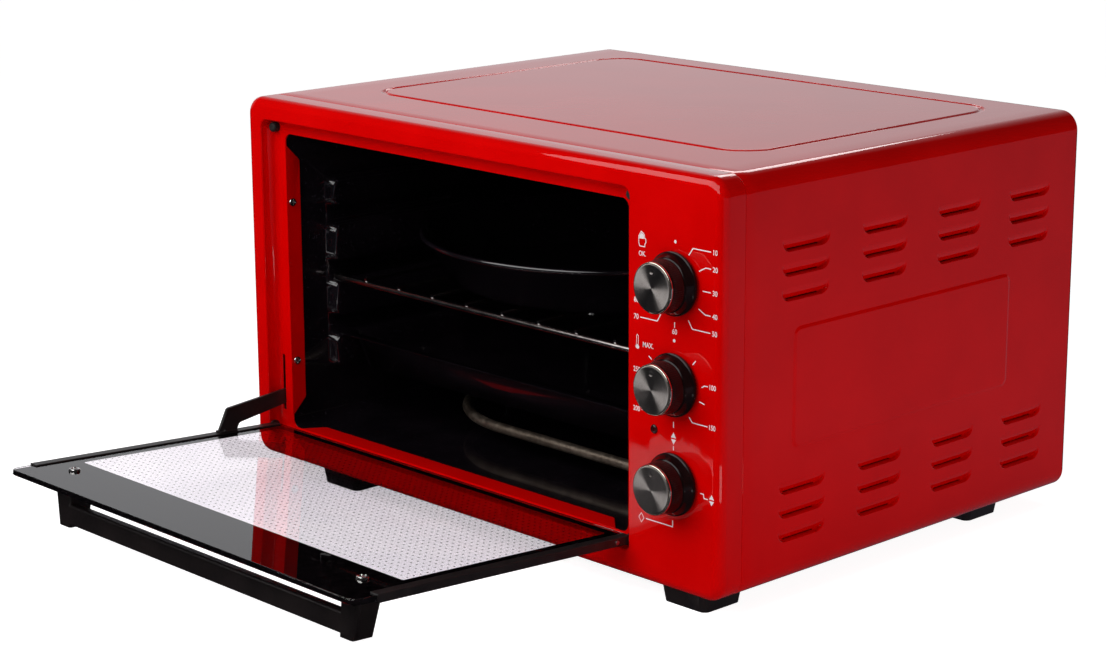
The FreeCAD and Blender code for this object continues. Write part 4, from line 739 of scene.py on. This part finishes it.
made = piece_from("rack_wires", points * MM, faces, "rack", oven_wire, angle=70)
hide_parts("wire_rack")
print("rack", len(faces), "faces")

# %% [markdown]
# ## The round pan
# The pan is spun from sheet: a flat base, a bent foot, a straight flared wall and a rim rolled outwards.
# Its half section is a closed line turned round z; the rolled rim is drawn as an arc so that it catches
# one thin line of light.

# %% Spin the pan
low, high = box_mm("round_pan")
centre = (low + high) / 2
rim, depth = (high[0] - low[0]) / 2, high[2] - low[2]
roll = 2.0
base, wall_top = rim - 28.0, rim - 4.0
arc = np.linspace(0, 1, 7)
outside = [(0, 0.0), (60, 0.0), (base - 7, 0.0)] + [(base - 6 + 9.0 * s, 5.0 * s * s) for s in arc]
outside += [(wall_top - 0.6, depth - 3.6)]
a = np.linspace(-0.75 * np.pi, 0.9 * np.pi, 14)
roll_line = [(rim - roll + roll * np.cos(v), depth - roll + roll * np.sin(v)) for v in a]
inside = [(wall_top - 1.0, depth - 2.4)] + [(base + 2.2 - 9.0 * s, 1.0 + 5.0 * (1 - s) ** 2) for s in arc]
inside += [(60, 1.0), (0, 1.0)]
profile = np.array(outside + roll_line + inside)
rings = lathe(profile, 128) + [centre[0], centre[1], low[2]]
faces = quads(len(rings), 128)
made = piece_from("pan_spun", rings * MM, faces, "pan", black_enamel, angle=50)
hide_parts("round_pan")
print("pan rim %.0f mm across" % (2 * rim))

# %% [markdown]
# ## Knobs
# Each knob is moulded in gloss black with fine ribs round its grip, over a flared skirt. The ribs are a
# cosine in the angle, faded in and out along the grip, so the ribbed zone ends softly at both sides. The
# ring is plated, and the cap is turned aluminium: its circular tool marks stretch every reflection along
# the radius, which is what draws the bright and dark fans. That is anisotropy along the turning line.

# %% Knob finishes
skin_gloss = {"Specular_IOR_Level": 0.18, "Coat_Weight": 0.12, "Coat_Roughness": 0.05}
gloss_black, tree, shader = finish("gloss_moulded_black", Roughness=0.16, **skin_gloss)
vary(tree, shader, "Base Color", 10.0, "#120708", "#1C0D0D")
vary(tree, shader, "Roughness", 4.0, 0.1, 0.2)

ring_plate, tree, shader = finish("warm_plated_ring", Metallic=1.0, Roughness=0.16)
vary(tree, shader, "Base Color", 5.0, "#D9CDBF", "#F1E8DC")

turned_cap, tree, shader = finish("turned_aluminium", Metallic=1.0, Roughness=0.45, Anisotropic=0.96)
around = add(tree, "UVMap", uv_map="turned")
grooves = add(tree, "Mapping", {"Vector": around.outputs["UV"], "Scale": (1.5, 260.0, 1.0)})
marks = add(tree, "TexNoise", {"Vector": grooves.outputs["Vector"], "Scale": 1.0, "Detail": 3.0})
tones = add(tree, "ValToRGB", {"Fac": marks.outputs["Fac"]})
for element, position, tone in zip(tones.color_ramp.elements, (0.3, 0.7), ("#7E7775", "#B9B2AE")):
    element.position, element.color = position, linear(tone)
tree.links.new(tones.outputs["Color"], shader.inputs["Base Color"])
rough = add(tree, "MapRange", {"Value": marks.outputs["Fac"], "To Min": 0.4, "To Max": 0.52})
tree.links.new(rough.outputs["Result"], shader.inputs["Roughness"])
line = add(tree, "Tangent", direction_type="UV_MAP", uv_map="turned")
tree.links.new(line.outputs["Tangent"], shader.inputs["Tangent"])
print("knob finishes:", gloss_black.name, ring_plate.name, turned_cap.name)

# %% Shape the knobs
KNOB_LENGTH = 22.0


def knob_profile():
    """Half section (radius, distance from the panel): skirt, flare, groove, grip, step for the ring."""
    flare = np.linspace(0, 1, 10)
    skirt = [(20.0, 1.0), (21.4, 1.1), (21.6, 1.5), (21.55, 2.4)]
    curve = [(21.5 - 3.0 * s, 2.9 + 5.0 * s**1.7) for s in flare]
    grip = [(18.35, 8.3), (17.5, 8.7), (17.4, 9.1), (17.75, 9.5)]
    rows = [(17.8 - 0.55 * s, 9.8 + 8.9 * s) for s in np.linspace(0, 1, 14)]
    step = [(17.15, 19.15), (16.1, 19.2), (16.1, 20.7), (0.0, 20.8)]
    return np.array([(6.0, 1.0)] + skirt + curve + grip + rows + step)


def ribs(r, h, t):
    """Grip ribs: 1.2 percent of the radius, 72 round the knob, fading near both ends of the grip."""
    fade = np.clip((h - 9.6) / 1.2, 0, 1) * np.clip((19.0 - h) / 0.8, 0, 1)
    return fade * 0.011 * np.minimum(np.cos(72 * t) + 0.35, 0.9)


def facing(rings, centre):
    """Turns rings drawn round z, with z away from the panel, to point out of the front at a centre."""
    x, y, z = np.moveaxis(np.asarray(rings), -1, 0)
    return np.stack([centre[0] + x, centre[1] - z, centre[2] + y], -1)


def knob_piece(dial, part, rings, steps, material, angle):
    """One part of a knob, from its rings in millimetres; it turns with the dial's own body."""
    body, faces = dial + "_control", quads(len(rings), steps)
    return piece_from(dial + part, rings * MM, faces, body, material, angle=angle)


for name in ("timer", "thermostat", "selector"):
    low, high = box_mm(name + "_knob")
    centre = np.array([(low[0] + high[0]) / 2, FRONT / MM, (low[2] + high[2]) / 2])
    rings = facing(lathe(knob_profile(), 432, ribs), centre)
    made = knob_piece(name, "_grip", rings, 432, gloss_black, 50)
    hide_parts(name + "_knob")
    ring = [(16.1, 19.2), (17.0, 19.2), (17.2, 19.4), (17.25, 20.2)]
    ring += [(17.1, 20.9), (16.8, 21.2), (16.3, 21.25), (16.1, 21.1)]
    rings = facing(lathe(ring, 96), centre)
    made = knob_piece(name, "_rim", rings, 96, ring_plate, 60)
    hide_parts(name + "_knob_ring")
    cap_r, dimple_at, dimple_r, dimple_deep = 16.08, 11.4, 1.9, 0.5
    radii = np.concatenate([np.linspace(0, 15.6, 66), [15.85, 16.0, cap_r, cap_r]])
    face_h = np.concatenate([np.zeros(66), [-0.06, -0.2, -0.4, -1.2]])
    t = turns(240)
    X, Y = radii[:, None] * np.cos(t), radii[:, None] * np.sin(t)
    away = np.hypot(X, Y - dimple_at) / dimple_r
    dish = np.where(away < 1, dimple_deep * (np.clip(1 - away**2, 0, 1)) ** 0.6, 0.0)
    grid = facing(np.stack([X, Y, KNOB_LENGTH + face_h[:, None] - dish], -1), centre)
    made = knob_piece(name, "_face", grid, 240, turned_cap, 50)
    uv = made.data.uv_layers.new(name="turned")
    co = read(made.data.vertices, "co", 3) / MM - centre
    loops = read(made.data.loops, "vertex_index").astype(int)
    turn = np.arctan2(co[:, 2], co[:, 0])[loops] / (2 * np.pi)
    starts = read(made.data.polygons, "loop_start").astype(int)
    totals = read(made.data.polygons, "loop_total").astype(int)
    first = np.repeat(turn[starts], totals)
    flat = np.zeros((len(loops), 2))
    flat[:, 0] = (turn - np.round(turn - first)) * 8
    flat[:, 1] = (np.hypot(co[:, 0], co[:, 2])[loops]) / 16.0
    uv.data.foreach_set("uv", flat.ravel())
    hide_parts(name + "_knob_cap")
print("three knobs, 72 ribs each")

# %% [markdown]
# ## The door's glass and its print
# The pane is 4 mm toughened glass. Its far side, under the pane when the door is down, carries a fired
# black print: a deep band at the handle, narrow bands along the channels, and a square grid of dots
# 5.75 mm apart over the window. The print is thin flat mesh a tenth of a millimetre inside the pane, as
# an ink that is fired into the glass is: the pane then reflects only once over it, and stays deep black.

# %% Glass and print
clear_glass, tree, shader = finish("toughened_glass", Roughness=0.0, IOR=1.5, Transmission_Weight=1.0)
vary(tree, shader, "Base Color", 80.0, "#F5EFF7", "#FBF5FB")
skin("door_glass", clear_glass, angle=40)

fired_print, tree, shader = finish("fired_black_print", Roughness=0.5, Specular_IOR_Level=0.0)
vary(tree, shader, "Base Color", 6.0, "#070506", "#0E0B0C")

low, high = box_mm("door_glass")
pane = [low[0], high[0], -3.0, 242.5]
window = [-217.0, 145.5, 6.0, 187.5]
PRINT_LEVEL = -1.9


def border(inner, outer, corner):
    """A flat ring between two rectangles of the door drawing, the inner one with rounded corners."""
    q = np.linspace(0, np.pi / 2, 9)
    ring = []
    for right_hand, far_hand, start in ((1, 1, 0), (0, 1, 1), (0, 0, 2), (1, 0, 3)):
        x = (inner[1] - corner) if right_hand else (inner[0] + corner)
        u = (inner[3] - corner) if far_hand else (inner[2] + corner)
        ring.append([x, u] + corner * on_circle(q + start * np.pi / 2))
    inside = np.concatenate(ring)
    low, high = np.array(inner[::2]), np.array(inner[1::2])
    middle = (low + high) / 2
    rel = (inside - middle) / ((high - low) / 2)
    rel /= np.abs(rel).max(1)[:, None]
    outside = middle + rel * np.where(rel > 0, np.array(outer[1::2]) - middle, middle - np.array(outer[::2]))
    flat = np.stack([outside, inside])
    return on_door(flat[..., 0], flat[..., 1], PRINT_LEVEL), quads(2, len(inside))


points, faces = border(window, [pane[0] + 1.5, pane[1] - 1.5, pane[2] + 2, pane[3] - 1.5], 2.0)
piece_from("glass_band", points, faces, "door", fired_print, smooth=False)
pitch, dot = 5.75, 0.78
xs = np.arange(window[0] + pitch / 2, window[1] - 1.5, pitch)
us = np.arange(window[2] + pitch / 2, window[3] - 1.5, pitch)
gx, gu = (g.ravel() for g in np.meshgrid(xs, us, indexing="ij"))
t = turns(10)
points = on_door(gx[:, None] + dot * np.cos(t), gu[:, None] + dot * np.sin(t), PRINT_LEVEL)
faces = np.arange(len(gx) * 10).reshape(-1, 10)
piece_from("glass_dots", points, faces, "door", fired_print, smooth=False)
print("dots:", len(gx))

# %% [markdown]
# ## The handle
# A moulded bar on two tapered posts. From the lens a thin line of floor shows between the pane's edge and
# the bar, so the bar's upper edge is planed down by 3 mm here: on a copy of the solid, each point within
# that edge's rounding moves straight away from the glass.

# %% Plane the handle's bar
handle = skin("door_handle", satin_plastic)
points = read(handle.data.vertices, "co", 3)
away = np.array([0.0, math.sin(RISE), math.cos(RISE)])
height = (points - HINGE) @ away / MM
edge = (height > -20.0) & (height < -15.5)
points[edge] -= 3.0 * MM * away
handle.data.vertices.foreach_set("co", points.ravel())
handle.data.update()
print("points planed:", int(edge.sum()))

# %% [markdown]
# ## The indicator lamp
# A low dome of dark red acrylic: clear plastic that takes a red tint through its depth.

# %% Lamp lens
depth = {"Transmission_Weight": 0.25, "IOR": 1.49, "Coat_Weight": 0.5}
lens, tree, shader = finish("dark_red_acrylic", Roughness=0.08, **depth)
vary(tree, shader, "Base Color", 3.0, "#2E0507", "#420709")
skin("lamp_lens", lens)
print("lens of", lens.name)

# %% [markdown]
# ## Screws
# Every screw is a plated pan head with a cross recess. The head is a dome over a disc; the recess is cut
# by lowering each point that lies within a cross of four arms, deeper towards the middle.

# %% Screw heads


def pan_head(radius, height, arm, width):
    """A dome with a cross recess: rings from its centre over the rim to its foot."""
    r = np.concatenate([np.linspace(0, 0.92, 22), [0.97, 1.0, 1.0]]) * radius
    top = height * np.sqrt(np.clip(1 - (np.linspace(0, 0.92, 22) ** 2) * 0.55, 0, 1))
    h = np.concatenate([top, [height * 0.55, height * 0.3, 0.0]])
    t = turns(72)
    x, y = r[:, None] * np.cos(t), r[:, None] * np.sin(t)
    near = np.minimum(np.abs(x), np.abs(y)) / width
    along = np.hypot(x, y) / arm
    sink = np.clip(1.15 - near, 0, 0.5) * 2 * np.clip(1 - along**2, 0, 1) ** 0.5
    return np.stack([x, y, h[:, None] - height * 0.75 * np.clip(sink, 0, 1)], -1)


def screw_set(name, body, places, radius, height, node):
    """Places copies of the head: each place is (point, outward axis), and the head stands along the axis."""
    parts = []
    for point, axis in places:
        turn = np.array(Vector(axis).to_track_quat("Z", "Y").to_matrix())
        head = pan_head(radius, height, radius * 0.62, radius * 0.16) @ turn.T + np.asarray(point)
        parts.append((head, quads(len(head), 72)))
    points, faces = merged(parts)
    made = piece_from(name, points * MM, faces, body, plating, angle=35)
    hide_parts(node)


frame_offset = np.array([0.0, FRONT, UNDERSIDE]) / MM
door_tilt = (0.0, math.sin(RISE), math.cos(RISE))
handle_places = [(on_door(-33.8 + s * 164.0, 208.0, 2.0) / MM, door_tilt) for s in (-1, 1)]
screw_set("handle_screw_heads", "door", handle_places, 4.3, 2.4, "handle_screws")
flange_places = []
for x, axis in ((-217.3, (1.0, 0.0, 0.0)), (154.0, (-1.0, 0.0, 0.0))):
    for z in (79.0, 205.0):
        flange_places.append((np.array([x, 16.7, z]) + frame_offset, axis))
screw_set("flange_screw_heads", "casing", flange_places, 3.2, 1.7, "flange_screws")
for node in ("foot_screws", "casing_screws"):
    skin(node, plating)
print("screw heads:", len(handle_places) + len(flange_places))

# %% [markdown]
# ## Print on the control panel
# The dial marks are screen printed in a pale grey-white ink: a stroke for each line, filled shapes for
# the small symbols, and plain numerals. A stroke is a polyline given width by moving its points sideways
# along the mitre of its two segments. Text is made a mesh before it is placed.

# %% Ink, strokes and shapes
ink, tree, shader = finish("screen_printed_ink", Roughness=0.5)
vary(tree, shader, "Base Color", 1.2, "#EADADC", "#FBF3F3")
printed = []
PROUD = -0.04


def lay(points_2d, faces):
    """Adds flat (x, z) points, in casing millimetres, to the print, just proud of the panel."""
    flat = np.asarray(points_2d, float)
    points = np.stack([flat[:, 0], np.full(len(flat), PROUD), flat[:, 1]], -1)
    printed.append((points, faces))


def stroke(points, width=0.75, closed=False):
    """A line with width: each point moves half a width along the mitre of its neighbours' normals."""
    p = np.asarray(points, float)
    after, before = np.roll(p, -1, 0) - p, p - np.roll(p, 1, 0)
    if not closed:
        after[-1], before[0] = before[-1], after[0]
    n1, n2 = (unit(np.stack([-run[:, 1], run[:, 0]], -1)) for run in (before, after))
    mitre = n1 + n2
    mitre /= (mitre * n1).sum(1)[:, None]
    both = np.concatenate([p + mitre * width / 2, p - mitre * width / 2])
    n = len(p)
    count = n if closed else n - 1
    faces = [[i, (i + 1) % n, n + (i + 1) % n, n + i] for i in range(count)]
    lay(both, faces)


def disc(x, z, radius, sides=20):
    """A filled circle."""
    lay([x, z] + radius * on_circle(turns(sides)), [list(range(sides))])


def solid(points):
    """A filled polygon."""
    lay(points, [list(range(len(points)))])


def text(words, x, z, height, stretch=0.92):
    """Plain numerals or letters centred at a place: the text curve is made a mesh, then moved."""
    curve = bpy.data.curves.new("text", "FONT")
    curve.body = words
    curve.align_x, curve.align_y = "CENTER", "CENTER"
    curve.size = height / 0.72
    curve.offset = 0.07
    holder = bpy.data.objects.new("text", curve)
    bpy.context.scene.collection.objects.link(holder)
    bpy.context.view_layer.update()
    mesh = bpy.data.meshes.new_from_object(holder.evaluated_get(bpy.context.evaluated_depsgraph_get()))
    co = read(mesh.vertices, "co", 3)[:, :2]
    middle = (co.max(0) + co.min(0)) / 2
    co = (co - middle) * [stretch, 1.0] + [x, z]
    mesh.calc_loop_triangles()
    lay(co, read(mesh.loop_triangles, "vertices", 3).astype(int))
    bpy.data.objects.remove(holder)
    bpy.data.curves.remove(curve)
    bpy.data.meshes.remove(mesh)


def spoke(centre, angle, r0, r1):
    """A point pair along a clockwise angle from the top of a dial."""
    s, c = math.sin(math.radians(angle)), math.cos(math.radians(angle))
    return (centre[0] + r0 * s, centre[1] + r0 * c), (centre[0] + r1 * s, centre[1] + r1 * c)


print("ink stands %.2f mm proud of the panel" % -PROUD)

# %% Timer dial
INK = 0.75
timer = (207.6, 211.2)
disc(208.0, 240.0, 1.15)
for angle, bend, end, label, words in (
    (30, (223.8, 237.9), (239.8, 237.9), (243.5, 237.9), "10"),
    (60, (235.1, 226.7), (239.8, 226.7), (243.5, 226.7), "20"),
    (120, (235.1, 195.7), (239.8, 195.7), (243.5, 195.7), "40"),
    (150, (223.7, 184.3), (239.8, 184.3), (243.5, 184.3), "50"),
    (210, (192.1, 184.3), (176.2, 184.3), (172.6, 184.3), "70"),
    (240, (180.6, 195.7), (176.2, 195.7), (172.6, 195.7), "80"),
):
    stroke([spoke(timer, angle, 25.0, 26)[0], bend, end], INK)
    text(words, *label, 3.5)
stroke([(232.6, 211.1), (239.8, 211.1)], INK)
text("30", 243.5, 211.1, 3.5)
stroke([(207.8, 186.2), (207.8, 182.4)], INK)
text("60", 207.9, 179.8, 3.5)
hand = [(175.6, 232.4), (174.6, 234.6), (174.7, 239.2), (175.6, 240.6), (177.0, 242.4), (178.5, 241.6)]
hand += [(179.9, 240.4), (180.1, 238.2), (181.2, 237.6), (181.3, 235.4), (180.4, 234.4), (180.2, 232.4)]
stroke(hand, 0.6, closed=True)
fingers = [(175.1, 237.4), (175.2, 239.1), (176.0, 240.3), (177.1, 241.7), (178.3, 241.0), (179.4, 240.1)]
solid([*fingers, (179.6, 237.6)])
text("OK.", 178.0, 227.6, 3.4, 0.85)
print("timer's print:", len(printed), "pieces")

# %% Thermostat dial
thermostat = (207.5, 142.9)
disc(207.5, 173.6, 1.15)
stroke([(224.2, 160.4), (227.0, 163.4)], INK)
stroke([(232.3, 146.6), (235.1, 148.2), (238.0, 148.2)], INK)
text("100", 242.3, 148.2, 3.5, 0.88)
stroke([(230.4, 136.7), (235.2, 135.7)], INK)
stroke([(221.6, 124.4), (224.4, 121.2), (238.0, 121.2)], INK)
text("150", 242.3, 121.2, 3.5, 0.88)
stroke([(207.4, 118.4), (207.4, 114.5)], INK)
stroke([(193.4, 124.4), (190.6, 121.1), (177.9, 121.1)], INK)
text("200", 173.2, 121.1, 3.5, 0.88)
stroke([(183.0, 146.6), (180.2, 148.2), (177.9, 148.2)], INK)
text("250", 173.2, 148.2, 3.5, 0.88)
stroke([spoke(thermostat, -55, 25.0, 28)[0], spoke(thermostat, -55, 25, 28.5)[1]], INK)
text("MAX.", 183.6, 166.2, 3.5, 0.88)
stem = [(172.9, 164.6), (172.9, 171.2), (173.7, 172.1), (174.5, 171.2), (174.5, 164.6)]
stroke(stem, 0.4)
disc(173.7, 163.8, 1.6)
print("and thermostat's:", len(printed))

# %% Selector dial
selector = (207.3, 74.7)
stroke([(207.5, 98.8), (207.5, 101.8)], INK)
solid([(205.2, 107.4), (209.8, 107.4), (207.5, 111.2)])
solid([(205.2, 106.4), (209.8, 106.4), (207.5, 102.8)])
stroke([(232.2, 74.6), (235.0, 74.6), (235.6, 71.8), (239.0, 71.8)], INK)
solid([(240.0, 72.3), (244.6, 72.3), (242.3, 75.6)])
solid([(240.0, 71.3), (244.6, 71.3), (242.3, 68.0)])
stroke([(207.2, 50.2), (207.2, 45.7), (182.4, 45.7)], INK)
stroke([(175.6, 45.6), (178.0, 48.9), (180.4, 45.6), (178.0, 42.3)], 0.5, closed=True)
stroke([(182.8, 74.6), (177.0, 74.6)], INK)
stroke([(170.9, 71.0), (173.2, 74.6), (175.5, 71.0)], 0.5)
points, faces = merged(printed)
points = points + frame_offset
piece_from("dial_print", points * MM, faces, "casing", ink, smooth=False)
print("print:", len(faces), "flat faces")

# %% [markdown]
# ## Nodes left without a finish
# Nodes that are still shown, have no skin and carry no material are listed.

# %% Nodes without a finish
left = [n for n, o in frame["nodes"].items() if n not in skins and not o.hide_render and not o.data.materials]
print("nodes without a finish:", left)
